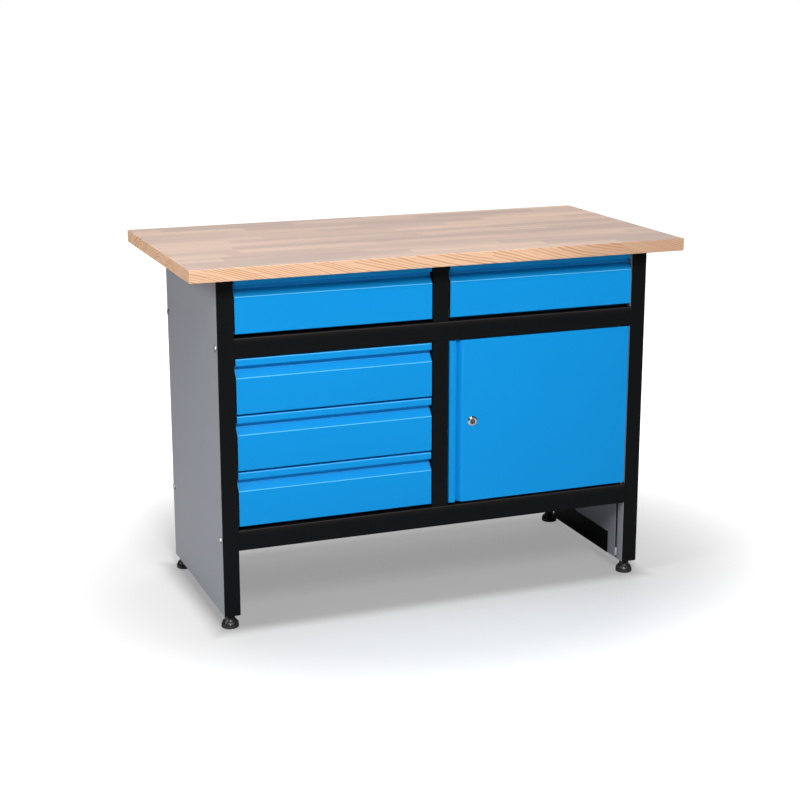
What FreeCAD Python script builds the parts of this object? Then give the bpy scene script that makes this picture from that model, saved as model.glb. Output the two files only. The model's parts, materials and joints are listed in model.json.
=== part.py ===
import FreeCAD, Part
import math
import os

# Workbench with five drawers and a cupboard.
# Frame: origin on the floor under the middle of the worktop, +X to the right as a person
# faces the drawers, +Y to the rear, +Z up. All sizes are in millimetres.

# Worktop
worktop_length = 1190.0
worktop_depth = 600.0
worktop_thickness = 29.0
worktop_edge_radius = 1.5
side_overhang = 70.0
front_overhang = 50.0
rear_overhang = 90.0

# Frame heights and members
leg_bottom = 33.0
lower_rail_bottom = 190.0
rail_height = 45.0
lower_rail_drop = 3.4
rail_depth = 32.0
rail_sheet = 1.5
leg_width = 37.5
leg_plate = 2.0
post_width = 39.0
post_depth = 46.0
keeper_depth = 22.0
post_tab_length = 38.0
bend_radius = 0.8

# Side panels and other sheets
side_sheet = 1.2
side_fold = 28.0
flange_setback = 2.0
liner_sheet = 1.0
liner_front_gap = 10.0
liner_rear_gap = 58.0
stiffener_sheet = 1.5
stiffener_height = 55.0
stiffener_setback = 39.0
stiffener_width = 121.0
cover_sheet = 1.2
cover_lap = 7.0
cover_gap = 0.1
back_sheet = 1.0
back_inset = 10.0
partition_sheet = 1.0
partition_gap = 2.0
partition_top_gap = 2.0
partition_rear_gap = 0.5

# Drawers
lower_drawers = 3
front_height = 125.0
front_gap = 4.5
front_gap_below = 8.6
front_gap_above = 2.4
front_gap_side = 2.9
front_sheet = 1.0
lip_height = 16.5
lip_setback = 2.0
grip_depth = 14.0
grip_wall = 10.0
grip_slope = 16.3
weld_flange = 30.0
box_drop = 18.0
box_sheet = 1.0
box_hem = 8.0
box_rear_gap = 15.0

# Ball-bearing runners
runner_start = 16.0
runner_rear_gap = 14.0
runner_thickness = 12.7
runner_height = 35.0
runner_sheet = 1.2
runner_lip = 10.0
runner_rise = 45.0
slide_height = 19.2
slide_reach = 9.5
cage_sheet = 0.8
cage_setback = 2.0
cage_lip_gap = 1.1
ball_radius = 3.0
ball_pocket_gap = 0.1
ball_offset = 6.0
balls_in_row = 6
ball_pitch = 16.0

# Door, hinge and lock
door_gap_side = 2.9
door_gap_below = 5.2
door_gap_above = 2.0
door_thickness = 19.0
door_sheet = 1.0
door_lip = 15.7
door_grip_wall = 5.3
door_grip_slope = 10.0
door_crease_radius = 6.0
hinge_inset = 5.0
hinge_pin_radius = 2.5
hinge_clearance = 0.05
hinge_pin_length = 12.0
bracket_sheet = 1.5
bracket_width = 22.0
bracket_depth = 22.0
bracket_setback = 2.0
lock_inset = 57.6
lock_height = 193.8
lock_ring_radius = 12.0
lock_ring_proud = 3.0
lock_ring_chamfer = 1.5
lock_body_radius = 9.0
lock_body_gap = 0.1
lock_nut_width = 24.0
lock_nut_thickness = 4.0
plug_radius = 6.0
plug_clearance = 0.05
plug_recess = 0.8
plug_tail = 1.5
keyway_width = 1.6
keyway_height = 7.0
keyway_depth = 12.0
cam_thickness = 2.0
cam_width = 16.0
cam_engagement = 7.0
cam_screw_radius = 2.0
cam_screw_length = 10.0
cam_screw_head_radius = 4.5
cam_screw_head_height = 2.5

# Cupboard shelf
shelf_rise = 195.0
shelf_sheet = 1.0
shelf_edge = 25.0
shelf_front_gap = 60.0
shelf_rear_gap = 30.0
shelf_side_gap = 1.0
support_length = 30.0
support_leg = 18.0
support_sheet = 1.5
support_inset = 40.0

# Fasteners
bolt_radius = 4.0
bolt_hole_radius = 4.4
bolt_head_width = 13.0
bolt_head_height = 3.0
bolt_nut_height = 6.5
bolt_end = 2.5
bolt_inset = 15.0
wood_screw_radius = 2.4
wood_screw_length = 20.0
wood_screw_head_radius = 4.5
wood_screw_head_height = 3.0
wood_screw_gap = 0.1
wood_screws_per_side = 3
wood_screw_spacing = 130.0
panel_screw_radius = 2.0
panel_screw_length = 10.0
panel_screw_head_radius = 3.8
panel_screw_head_height = 2.2
panel_screw_gap = 0.2
panel_screw_rows = 4
panel_screw_margin = 22.0
panel_screw_rail_span = 500.0

# Levelling feet
foot_radius = 20.0
foot_rim = 11.0
foot_shoulder = 20.0
foot_neck_radius = 11.5
foot_edge_radius = 1.0
foot_ribs = 8
foot_core = 12.0
foot_pocket_width = 7.0
foot_pocket_low = 6.5
foot_pocket_high = 14.5
stud_radius = 4.0
stud_clearance = 0.15
stud_start = 8.0
stud_length = 52.0
foot_plate_sheet = 3.0
foot_plate_gap = 0.3
foot_plate_margin = 17.0
foot_nut_width = 13.0
foot_nut_height = 6.5
front_foot_inset = 25.0
rear_foot_inset = 15.0

# Places that follow from the sizes above
half_length = worktop_length / 2
half_depth = worktop_depth / 2
front_y = -half_depth + front_overhang
rear_y = half_depth - rear_overhang
frame_half = half_length - side_overhang
leg_inner = frame_half - leg_width
leg_centre = frame_half - leg_width / 2
post_half = post_width / 2
panel_front_y = front_y + leg_plate
skin_inner = frame_half - side_sheet
fold_front_end = front_y + side_fold
fold_rear_end = rear_y - side_fold + leg_plate
liner_front = fold_front_end + liner_front_gap
liner_rear = fold_rear_end - liner_rear_gap

lower_rail_top = lower_rail_bottom + rail_height
stack_height = lower_drawers * front_height + (lower_drawers - 1) * front_gap
middle_rail_bottom = lower_rail_top + front_gap_below + stack_height + front_gap_above
middle_rail_top = middle_rail_bottom + rail_height
underside = middle_rail_top + front_gap_below + front_height + front_gap_above
overall_height = underside + worktop_thickness
rail_middles = [bottom + rail_height / 2 for bottom in (lower_rail_bottom, middle_rail_bottom)]

rail_back_y = front_y + rail_depth
rear_rail_front_y = rear_y - rail_depth
rear_post_front_y = rear_rail_front_y - post_depth + rail_sheet
floor_top = lower_rail_top + cover_sheet
cover_top = middle_rail_top + cover_sheet
bolt_rows = [front_y + bolt_inset, rear_y - bolt_inset]

bay_inner = post_half
bay_outer = leg_inner
bay_centre = (bay_inner + bay_outer) / 2
front_half_width = (bay_outer - bay_inner) / 2 - front_gap_side
box_half_width = (bay_outer - bay_inner) / 2 - runner_thickness
box_height = front_height - front_sheet - box_drop
box_front_y = front_y + grip_depth + front_sheet
box_rear_y = rear_y - box_rear_gap
runner_front_y = front_y + runner_start
runner_length = rear_y - runner_rear_gap - runner_front_y
ball_height = (slide_height + runner_height - 2 * runner_sheet) / 4
cage_length = balls_in_row * ball_pitch

door_left = bay_inner + door_gap_side
door_right = bay_outer - door_gap_side
door_bottom = lower_rail_top + door_gap_below
door_top = middle_rail_bottom - door_gap_above
hinge_x = door_right - hinge_inset
hinge_y = front_y + hinge_inset
lock_x = door_left + lock_inset
lock_z = door_bottom + lock_height
plug_end_y = front_y + door_thickness + lock_nut_thickness + plug_tail
cam_reach = lock_x - bay_inner + cam_engagement
shelf_z = floor_top + shelf_rise

# Each plane is its first axis, its second axis and the axis that a profile is drawn out along
planes = {
    "plan": (FreeCAD.Vector(1, 0, 0), FreeCAD.Vector(0, 1, 0), FreeCAD.Vector(0, 0, 1)),
    "section": (FreeCAD.Vector(0, 1, 0), FreeCAD.Vector(0, 0, 1), FreeCAD.Vector(1, 0, 0)),
    "front": (FreeCAD.Vector(1, 0, 0), FreeCAD.Vector(0, 0, 1), FreeCAD.Vector(0, 1, 0)),
}
along_x = FreeCAD.Vector(1, 0, 0)
along_y = FreeCAD.Vector(0, 1, 0)
along_z = FreeCAD.Vector(0, 0, 1)


# ---------------------------------------------------------------- helpers


def block(x_range, y_range, z_range):
    """A solid box between two values along each axis."""
    size = [high - low for low, high in (x_range, y_range, z_range)]
    corner = FreeCAD.Vector(x_range[0], y_range[0], z_range[0])
    return Part.makeBox(*size, corner)


def rod(radius, start, axis, length):
    """A round bar that starts at a point and runs along an axis."""
    return Part.makeCylinder(radius, length, FreeCAD.Vector(*start), axis)


def hexagon(width, start, axis, length):
    """A hexagonal bar of a given width across its flats."""
    side = axis.cross(along_x)
    if side.Length == 0:
        side = along_z
    corners = []
    for step in range(7):
        turn = FreeCAD.Rotation(axis, 60 * step)
        spoke = turn.multVec(side) * (width / math.sqrt(3))
        corners.append(FreeCAD.Vector(*start) + spoke)
    return Part.Face(Part.makePolygon(corners)).extrude(axis * length)


def rounded_run(points, radii, at):
    """Edges along points with each inner corner rounded; at() puts a point in space."""
    edges = []
    here = points[0]
    for before, corner, after, radius in zip(points, points[1:], points[2:], radii):
        back = (before - corner).normalize()
        ahead = (after - corner).normalize()
        half_turn = back.getAngle(ahead) / 2
        setback = radius / math.tan(half_turn)
        inward = (back + ahead).normalize()
        start = corner + back * setback
        end = corner + ahead * setback
        middle = corner + inward * (radius / math.sin(half_turn) - radius)
        edges.append(Part.LineSegment(at(here), at(start)).toShape())
        edges.append(Part.Arc(at(start), at(middle), at(end)).toShape())
        here = end
    edges.append(Part.LineSegment(at(here), at(points[-1])).toShape())
    return edges


def bent_sheet(points, sheet, plane, start, end):
    """A folded sheet: its first surface runs along the points, its thickness is to their left.

    A point may carry a third value, the inside radius of its own bend."""
    first_axis, second_axis, draw_axis = planes[plane]
    near = [FreeCAD.Vector(point[0], point[1], 0) for point in points]
    bends = [point[2] if len(point) > 2 else bend_radius for point in points[1:-1]]
    ways = [(after - before).normalize() for before, after in zip(near, near[1:])]
    lefts = [FreeCAD.Vector(-way.y, way.x, 0) for way in ways]
    far = [near[0] + lefts[0] * sheet]
    near_radii = []
    far_radii = []
    for corner, bend, left, next_left in zip(near[1:], bends, lefts, lefts[1:]):
        far.append(corner + (left + next_left) * (sheet / (1 + left.dot(next_left))))
        turns_left = left.cross(next_left).z > 0
        near_radii.append(bend + sheet if turns_left else bend)
        far_radii.append(bend if turns_left else bend + sheet)
    far.append(near[-1] + lefts[-1] * sheet)

    def at(point):
        return first_axis * point.x + second_axis * point.y + draw_axis * start

    outline = rounded_run(near, near_radii, at)
    outline.append(Part.LineSegment(at(near[-1]), at(far[-1])).toShape())
    outline += rounded_run(far[::-1], far_radii[::-1], at)
    outline.append(Part.LineSegment(at(far[0]), at(near[0])).toShape())
    return Part.Face(Part.Wire(outline)).extrude(draw_axis * (end - start))


def mirrored(shape, x=0.0):
    """The other hand of a shape, across the plane at x."""
    return shape.mirror(FreeCAD.Vector(x, 0, 0), along_x)


def both_hands(shapes, x=0.0):
    """A group of shapes and their mirror images."""
    return Part.makeCompound(list(shapes) + [mirrored(shape, x) for shape in shapes])


def drilled(shape, holes):
    """A shape with every hole cut out of it."""
    return shape.cut(Part.makeCompound(holes)).Solids[0]


# ---------------------------------------------------------------- places of fasteners and feet


def worktop_screw_places():
    """The middle of each worktop screw on the worktop's underside, on the right and centre."""
    first = -(wood_screws_per_side - 1) / 2 * wood_screw_spacing
    middle_y = (front_y + rear_y) / 2
    rows = [middle_y + first + wood_screw_spacing * row for row in range(wood_screws_per_side)]
    sides = [(hand * leg_centre, y) for hand in (-1, 1) for y in rows]
    front_tab_y = front_y + rail_sheet + post_tab_length / 2
    rear_tab_y = rear_rail_front_y - rail_sheet - post_tab_length / 2
    return sides + [(0.0, front_tab_y), (0.0, rear_tab_y)]


def worktop_holes(radius, depth):
    """Upright holes at the worktop screws, from just below the flanges up into the worktop."""
    start_z = underside - 2 * side_sheet - wood_screw_head_height
    length = underside - start_z + depth
    return [rod(radius, (x, y, start_z), along_z, length) for x, y in worktop_screw_places()]


def panel_screw_places():
    """The x and z of each back-panel screw: up both side panels and on the middle rear rail."""
    low = lower_rail_bottom + panel_screw_margin * 2
    high = underside - panel_screw_margin
    step = (high - low) / (panel_screw_rows - 1)
    heights = [low + step * row for row in range(panel_screw_rows)]
    sides = [(hand * leg_centre, z) for hand in (-1, 1) for z in heights]
    reach = panel_screw_rail_span / 2
    return sides + [(hand * reach, rail_middles[1]) for hand in (-1, 1)]


def panel_holes():
    """Holes from front to back at every back-panel screw."""
    radius = panel_screw_radius + panel_screw_gap
    length = panel_screw_length + back_sheet * 2
    return [rod(radius, (x, rear_y + back_sheet * 2, z), -along_y, length)
            for x, z in panel_screw_places()]


def bolt_holes():
    """Holes across the right-hand end of the frame at every frame bolt."""
    start_x = leg_inner - rail_sheet * 2
    length = frame_half - start_x + side_sheet
    return [rod(bolt_hole_radius, (start_x, y, z), along_x, length)
            for y in bolt_rows for z in rail_middles]


def foot_places():
    """The name and the middle of each levelling foot."""
    rows = {"front": front_y + front_foot_inset, "rear": rear_y - rear_foot_inset}
    hands = {"left": -leg_centre, "right": leg_centre}
    return {row + "_" + hand: (x, y) for row, y in rows.items() for hand, x in hands.items()}


# ---------------------------------------------------------------- frame


def worktop():
    """The solid timber board, with pilot holes for its screws."""
    board = block((-half_length, half_length), (-half_depth, half_depth),
                  (underside, overall_height))
    board = board.makeFillet(worktop_edge_radius, board.Edges)
    return drilled(board, worktop_holes(wood_screw_radius + wood_screw_gap, wood_screw_length + 1))


def worktop_screws():
    """Round-headed screws that hold the worktop from below."""
    screws = []
    for x, y in worktop_screw_places():
        flange = side_sheet if abs(x) > 0 else rail_sheet
        head_z = underside - flange - wood_screw_head_height
        head = rod(wood_screw_head_radius, (x, y, head_z), along_z, wood_screw_head_height)
        shank_length = wood_screw_head_height + flange + wood_screw_length
        shank = rod(wood_screw_radius, (x, y, head_z), along_z, shank_length)
        screws.append(head.fuse(shank).removeSplitter())
    return Part.makeCompound(screws)


def side_panel():
    """The right side panel: a folded sheet, a liner inside it and a flange welded to both."""
    outline = [
        (leg_inner, fold_front_end),
        (leg_inner, panel_front_y),
        (frame_half, panel_front_y),
        (frame_half, rear_y),
        (leg_inner, rear_y),
        (leg_inner, fold_rear_end),
    ]
    panel = bent_sheet(outline, side_sheet, "plan", leg_bottom, underside)
    panel = drilled(panel, bolt_holes() + panel_holes())
    liner = block((leg_inner, leg_inner + liner_sheet), (liner_front, liner_rear),
                  (leg_bottom, underside))
    flange = block((leg_inner + liner_sheet, skin_inner),
                   (fold_front_end + flange_setback, fold_rear_end - flange_setback),
                   (underside - side_sheet, underside))
    flange = drilled(flange, worktop_holes(wood_screw_radius + wood_screw_gap, side_sheet))
    return Part.makeCompound([panel, liner, flange])


def front_leg():
    """The right leg's front plate, which covers the side panel's front fold."""
    plate = block((leg_inner, frame_half), (front_y, panel_front_y), (leg_bottom, underside))
    uprights = [edge for edge in plate.Edges
                if edge.BoundBox.ZLength > rail_height and edge.BoundBox.YMin < panel_front_y - bend_radius]
    return plate.makeFillet(bend_radius, uprights)


def rail(bottom, top, face_y, inward):
    """A channel across the frame with a plate welded into each end for its bolts.

    inward is 1 where the channel opens to the rear, and -1 where it opens to the front."""
    open_y = face_y + inward * rail_depth
    outline = [(open_y, top), (face_y, top), (face_y, bottom), (open_y, bottom)]
    if inward < 0:
        outline = outline[::-1]
    channel = bent_sheet(outline, rail_sheet, "section", -leg_inner, leg_inner)
    if inward < 0:
        channel = drilled(channel, panel_holes())
    web_y = face_y + inward * rail_sheet
    inner_z = (bottom + rail_sheet, top - rail_sheet)
    end = block((leg_inner - rail_sheet, leg_inner), sorted((web_y, open_y)), inner_z)
    corners = [edge for edge in end.Edges if edge.BoundBox.XLength > rail_sheet / 2
               and abs(edge.BoundBox.YMin - web_y) < bend_radius]
    end = drilled(end.makeChamfer(bend_radius, corners), bolt_holes())
    return Part.makeCompound([channel, end, mirrored(end)])


def post(face_y, inward, z_range, right_depth=post_depth, tab=False):
    """An upright channel on the middle of the bench, its open side away from face_y."""
    left_end = face_y + inward * post_depth
    right_end = face_y + inward * right_depth
    outline = [(-post_half, left_end), (-post_half, face_y), (post_half, face_y),
               (post_half, right_end)]
    if inward < 0:
        outline = outline[::-1]
    channel = bent_sheet(outline, rail_sheet, "plan", *z_range)
    if not tab:
        return channel
    inside = post_half - rail_sheet / 2
    tab_y = sorted((face_y + inward * rail_sheet / 2, face_y + inward * (rail_sheet + post_tab_length)))
    plate = block((-inside, inside), tab_y, (z_range[1] - rail_sheet, z_range[1]))
    holes = worktop_holes(wood_screw_radius + wood_screw_gap, rail_sheet)
    return drilled(channel.fuse(plate).removeSplitter(), holes)


def partition():
    """The double wall between the drawers and the cupboard, one sheet folded into a U."""
    half = post_half - rail_sheet
    start = rail_back_y + partition_gap
    end = rear_rail_front_y - rail_sheet - partition_rear_gap
    outline = [(half, start), (half, end), (-half, end), (-half, start)]
    return bent_sheet(outline, partition_sheet, "plan", floor_top, underside - partition_top_gap)


def cover(left, bottom):
    """A flat sheet laid on a pair of rails, notched round the centre post."""
    z_range = (bottom, bottom + cover_sheet)
    sheet = block((left, leg_inner - cover_gap), (rail_back_y - cover_lap, rear_rail_front_y + cover_lap),
                  z_range)
    post_x = post_half + cover_gap
    notch = block((-post_x, post_x), (front_y, front_y + post_depth + cover_gap), z_range)
    return drilled(sheet, [notch])


def back_panel():
    """The flat rear sheet, screwed on from outside."""
    half = frame_half - back_inset
    sheet = block((-half, half), (rear_y, rear_y + back_sheet), (lower_rail_bottom, underside))
    return drilled(sheet, panel_holes())


def panel_screws():
    """Pan-head screws through the back panel."""
    screws = []
    for x, z in panel_screw_places():
        head_y = rear_y + back_sheet
        head = rod(panel_screw_head_radius, (x, head_y, z), along_y, panel_screw_head_height)
        shank = rod(panel_screw_radius, (x, head_y, z), -along_y, panel_screw_length)
        screws.append(head.fuse(shank).removeSplitter())
    return Part.makeCompound(screws)


def frame_bolts():
    """Hexagon-head bolts through the side panels and the rails' ends."""
    bolts = []
    nut_inner = leg_inner - rail_sheet - bolt_nut_height
    length = frame_half - nut_inner + bolt_end
    for y in bolt_rows:
        for z in rail_middles:
            head = hexagon(bolt_head_width, (frame_half, y, z), along_x, bolt_head_height)
            shank = rod(bolt_radius, (frame_half, y, z), -along_x, length)
            bolts.append(head.fuse(shank).removeSplitter())
    return both_hands(bolts)


def frame_nuts():
    """A hexagon nut on each frame bolt, inside the rail's end."""
    nuts = []
    inner = leg_inner - rail_sheet - bolt_nut_height
    for y in bolt_rows:
        for z in rail_middles:
            body = hexagon(bolt_head_width, (inner, y, z), along_x, bolt_nut_height)
            bore = rod(bolt_radius + stud_clearance, (inner, y, z), along_x, bolt_nut_height)
            nuts.append(body.cut(bore))
    return both_hands(nuts)


# ---------------------------------------------------------------- levelling feet


def foot_plates():
    """A plate in the bottom of each leg with a welded nut for the foot's stud, and the
    L-shaped stiffener low on the liner of each side."""
    plates = []
    inner = leg_inner + side_sheet + foot_plate_gap
    outer = skin_inner - foot_plate_gap
    front_row = (panel_front_y + side_sheet + foot_plate_gap, front_y + front_foot_inset + foot_plate_margin)
    rear_row = (rear_y - rear_foot_inset - foot_plate_margin, rear_y - side_sheet - foot_plate_gap)
    for (x, y), row in zip((foot_places()["front_right"], foot_places()["rear_right"]),
                           (front_row, rear_row)):
        plate = block((inner, outer), row, (leg_bottom, leg_bottom + foot_plate_sheet))
        nut = hexagon(foot_nut_width, (x, y, leg_bottom), along_z, foot_plate_sheet + foot_nut_height)
        bore = rod(stud_radius + stud_clearance, (x, y, leg_bottom), along_z,
                   foot_plate_sheet + foot_nut_height)
        plates.append(plate.fuse(nut).cut(bore).removeSplitter())
    against_liner = (leg_inner - stiffener_sheet, leg_inner)
    low = block(against_liner, (liner_front + stiffener_setback, liner_rear),
                (leg_bottom, leg_bottom + stiffener_height))
    tall = block(against_liner, (liner_rear - stiffener_width, liner_rear), (leg_bottom, lower_rail_top))
    plates.append(low.fuse(tall).removeSplitter())
    return both_hands(plates)


def foot(x, y):
    """The moulded foot: a broad rim, a ribbed shoulder and a neck round its stud."""
    outline = [
        (0, 0),
        (foot_radius, 0),
        (foot_radius, foot_rim),
        (foot_neck_radius, foot_shoulder),
        (foot_neck_radius, leg_bottom - foot_edge_radius),
        (0, leg_bottom - foot_edge_radius),
        (0, 0),
    ]
    wire = Part.makePolygon([FreeCAD.Vector(x + radius, y, z) for radius, z in outline])
    solid = Part.Face(wire).revolve(FreeCAD.Vector(x, y, 0), along_z, 360)
    bore = rod(stud_radius + stud_clearance, (x, y, stud_start), along_z, leg_bottom)
    pocket = block((foot_core, foot_radius + foot_edge_radius), (-foot_pocket_width / 2, foot_pocket_width / 2),
                   (foot_pocket_low, foot_pocket_high))
    pockets = []
    for step in range(foot_ribs):
        turned = pocket.copy()
        turned.rotate(FreeCAD.Vector(0, 0, 0), along_z, (step + 0.5) * 360 / foot_ribs)
        turned.translate(FreeCAD.Vector(x, y, 0))
        pockets.append(turned)
    return drilled(solid, pockets + [bore])


def foot_stud(x, y):
    """The foot's threaded stud, drawn at its outer diameter."""
    return rod(stud_radius, (x, y, stud_start), along_z, stud_length)


# ---------------------------------------------------------------- drawers


def drawer_front(bottom):
    """The right-hand bay's drawer front: one sheet folded into a lip, a grip and a face."""
    top = bottom + front_height
    wall_bottom = top - lip_height - grip_wall
    outline = [
        (front_y + grip_depth, top),
        (front_y + lip_setback, top),
        (front_y + lip_setback, top - lip_height),
        (front_y + grip_depth, top - lip_height),
        (front_y + grip_depth, wall_bottom),
        (front_y, wall_bottom - grip_slope),
        (front_y, bottom),
        (front_y + weld_flange, bottom),
    ]
    return bent_sheet(outline, front_sheet, "section",
                      bay_centre - front_half_width, bay_centre + front_half_width)


def drawer_box(bottom):
    """The right-hand bay's open drawer box, its side walls hemmed inwards along the top."""
    low = bottom + front_sheet
    high = low + box_height
    left = bay_centre - box_half_width
    right = bay_centre + box_half_width
    outer = block((left, right), (box_front_y, box_rear_y), (low, high))
    inner = block((left + box_sheet, right - box_sheet),
                  (box_front_y + box_sheet, box_rear_y - box_sheet), (low + box_sheet, high))
    hem = block((left + box_sheet / 2, left + box_sheet + box_hem),
                (box_front_y + box_sheet / 2, box_rear_y - box_sheet / 2), (high - box_sheet, high))
    return outer.cut(inner).fuse([hem, mirrored(hem, bay_centre)]).removeSplitter()


def runner_centre(bottom):
    """The height of a drawer's runners."""
    return bottom + front_sheet + runner_rise


def cabinet_runner(bottom):
    """The runner member fixed to the post beside the right-hand bay."""
    middle = runner_centre(bottom)
    half = runner_height / 2
    lip = bay_inner + runner_lip
    outline = [(lip, middle + half), (bay_inner, middle + half),
               (bay_inner, middle - half), (lip, middle - half)]
    return bent_sheet(outline, runner_sheet, "front", runner_front_y, runner_front_y + runner_length)


def drawer_slide(bottom):
    """The runner member fixed to the drawer box, opening towards the cabinet member."""
    middle = runner_centre(bottom)
    half = slide_height / 2
    web = bay_inner + runner_thickness
    tip = web - slide_reach
    outline = [(tip, middle - half), (web, middle - half), (web, middle + half), (tip, middle + half)]
    return bent_sheet(outline, runner_sheet, "front", runner_front_y, runner_front_y + runner_length)


def ball_cage(bottom):
    """The ball retainer at half the runner's length, with its balls."""
    middle = runner_centre(bottom)
    back = bay_inner + cage_setback
    lip = bay_inner + runner_thickness - runner_sheet - cage_lip_gap
    outer = ball_height + cage_sheet / 2
    start = runner_front_y + (runner_length - cage_length) / 2
    outline = [(lip, middle + outer), (back, middle + outer), (back, middle - outer), (lip, middle - outer)]
    retainer = bent_sheet(outline, cage_sheet, "front", start, start + cage_length)
    pockets = []
    balls = []
    ball_x = bay_inner + ball_offset
    for place in range(balls_in_row):
        ball_y = start + ball_pitch * (place + 0.5)
        pocket_start = (ball_x, ball_y, middle - runner_height / 2)
        pockets.append(rod(ball_radius + ball_pocket_gap, pocket_start, along_z, runner_height))
        for side in (-1, 1):
            centre = FreeCAD.Vector(ball_x, ball_y, middle + side * ball_height)
            balls.append(Part.makeSphere(ball_radius, centre))
    return [drilled(retainer, pockets)] + balls


def drawer_places():
    """Each drawer's name, the height of its front's lower edge, and its hand."""
    upper = middle_rail_top + front_gap_below
    places = {"upper_left": (upper, "left"), "upper_right": (upper, "right")}
    names = ["bottom", "middle", "top"]
    for level in range(lower_drawers):
        bottom = lower_rail_top + front_gap_below + level * (front_height + front_gap)
        name = names[level] if level < len(names) else "extra" + str(level)
        places["lower_" + name] = (bottom, "left")
    return places


def in_bay(shapes, hand):
    """Puts shapes drawn for the right-hand bay into the bay of the given hand."""
    if hand == "right":
        return Part.makeCompound(shapes) if len(shapes) > 1 else shapes[0]
    moved = [mirrored(shape) for shape in shapes]
    return Part.makeCompound(moved) if len(moved) > 1 else moved[0]


def drawer_pieces():
    """The nodes of every drawer, and the cabinet runners they share the frame with."""
    nodes = {}
    cabinet = []
    for name, (bottom, hand) in drawer_places().items():
        slide = drawer_slide(bottom)
        cage = ball_cage(bottom)
        runner = cabinet_runner(bottom)
        nodes["drawer_" + name + "_front"] = in_bay([drawer_front(bottom)], hand)
        nodes["drawer_" + name + "_box"] = in_bay([drawer_box(bottom)], hand)
        nodes["drawer_" + name + "_slides"] = in_bay([slide, mirrored(slide, bay_centre)], hand)
        cages = cage + [mirrored(shape, bay_centre) for shape in cage]
        nodes["drawer_" + name + "_cages"] = in_bay(cages, hand)
        cabinet += in_bay([runner, mirrored(runner, bay_centre)], hand).Solids
    nodes["cabinet_runners"] = Part.makeCompound(cabinet)
    return nodes


# ---------------------------------------------------------------- door and lock


def lock_hole():
    """The hole that the lock's body passes through."""
    start = (lock_x, front_y - lock_ring_proud, lock_z)
    return rod(lock_body_radius + lock_body_gap, start, along_y, door_thickness + lock_ring_proud * 2)


def hinge_holes():
    """Holes in the door's lower and upper edges for the hinge pins."""
    radius = hinge_pin_radius + hinge_clearance
    return [rod(radius, (hinge_x, hinge_y, z - hinge_pin_length), along_z, hinge_pin_length * 2)
            for z in (door_bottom, door_top)]


def door_panel():
    """The door's outer sheet, folded at its left edge into the same lip and grip as the drawers."""
    back = front_y + door_thickness
    lip = door_left + door_lip
    wall = lip + door_grip_wall
    outline = [
        (door_left, back),
        (door_left, front_y + lip_setback),
        (lip, front_y + lip_setback),
        (lip, front_y + grip_depth),
        (wall, front_y + grip_depth),
        (wall + door_grip_slope, front_y, door_crease_radius),
        (door_right, front_y),
        (door_right, back),
    ]
    return drilled(bent_sheet(outline, door_sheet, "plan", door_bottom, door_top), [lock_hole()])


def door_inner_pan():
    """The door's inner sheet, with flanges that close its lower and upper edges."""
    back = front_y + door_thickness
    left = door_left + door_sheet
    right = door_right - door_sheet
    web = block((left, right), (back - door_sheet, back), (door_bottom, door_top))
    flange_left = door_left + door_lip + door_grip_wall + door_grip_slope + door_crease_radius
    bottom = block((flange_left, right - bend_radius), (front_y + door_sheet, back - door_sheet / 2),
                   (door_bottom, door_bottom + door_sheet))
    top = bottom.translated(FreeCAD.Vector(0, 0, door_top - door_bottom - door_sheet))
    pan = web.fuse([bottom, top]).removeSplitter()
    return drilled(pan, hinge_holes() + [lock_hole()])


def hinge_brackets():
    """Plates on the rails above and below the door that carry the hinge pins."""
    places = (lower_rail_top, middle_rail_bottom - bracket_sheet)
    plates = []
    for z in places:
        start_y = front_y + bracket_setback
        plate = block((leg_inner - bracket_width, leg_inner), (start_y, start_y + bracket_depth),
                      (z, z + bracket_sheet))
        pin_hole = rod(hinge_pin_radius, (hinge_x, hinge_y, z), along_z, bracket_sheet)
        plates.append(plate.cut(pin_hole))
    return Part.makeCompound(plates)


def hinge_pins():
    """The door's two hinge pins, each riveted in its bracket."""
    lower = rod(hinge_pin_radius, (hinge_x, hinge_y, lower_rail_top), along_z, hinge_pin_length)
    upper = rod(hinge_pin_radius, (hinge_x, hinge_y, middle_rail_bottom), -along_z, hinge_pin_length)
    return Part.makeCompound([lower, upper])


def lock_housing():
    """The lock's body and its chamfered ring, bored for the plug."""
    face = (lock_x, front_y - lock_ring_proud, lock_z)
    ring = rod(lock_ring_radius, face, along_y, lock_ring_proud)
    rim = [edge for edge in ring.Edges if abs(edge.BoundBox.YMax - face[1]) < lock_body_gap]
    ring = ring.makeChamfer(lock_ring_chamfer, rim)
    body = rod(lock_body_radius, face, along_y, lock_ring_proud + door_thickness + lock_nut_thickness)
    bore = rod(plug_radius + plug_clearance, face, along_y, plug_end_y - face[1])
    return ring.fuse(body).cut(bore).removeSplitter()


def lock_nut():
    """The hexagon nut that clamps the lock from inside the door."""
    start = (lock_x, front_y + door_thickness, lock_z)
    nut = hexagon(lock_nut_width, start, along_y, lock_nut_thickness)
    return nut.cut(rod(lock_body_radius + lock_body_gap, start, along_y, lock_nut_thickness))


def lock_plug():
    """The turning plug, with a keyway in front and a screw hole in its tail."""
    face_y = front_y - lock_ring_proud + plug_recess
    plug = rod(plug_radius, (lock_x, face_y, lock_z), along_y, plug_end_y - face_y)
    keyway = block((lock_x - keyway_width / 2, lock_x + keyway_width / 2),
                   (face_y, face_y + keyway_depth),
                   (lock_z - keyway_height / 2, lock_z + keyway_height / 2))
    hole_start = (lock_x, plug_end_y, lock_z)
    screw_hole = rod(cam_screw_radius + stud_clearance, hole_start, -along_y,
                     cam_screw_length - cam_thickness)
    return plug.cut(keyway).cut(screw_hole)


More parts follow.
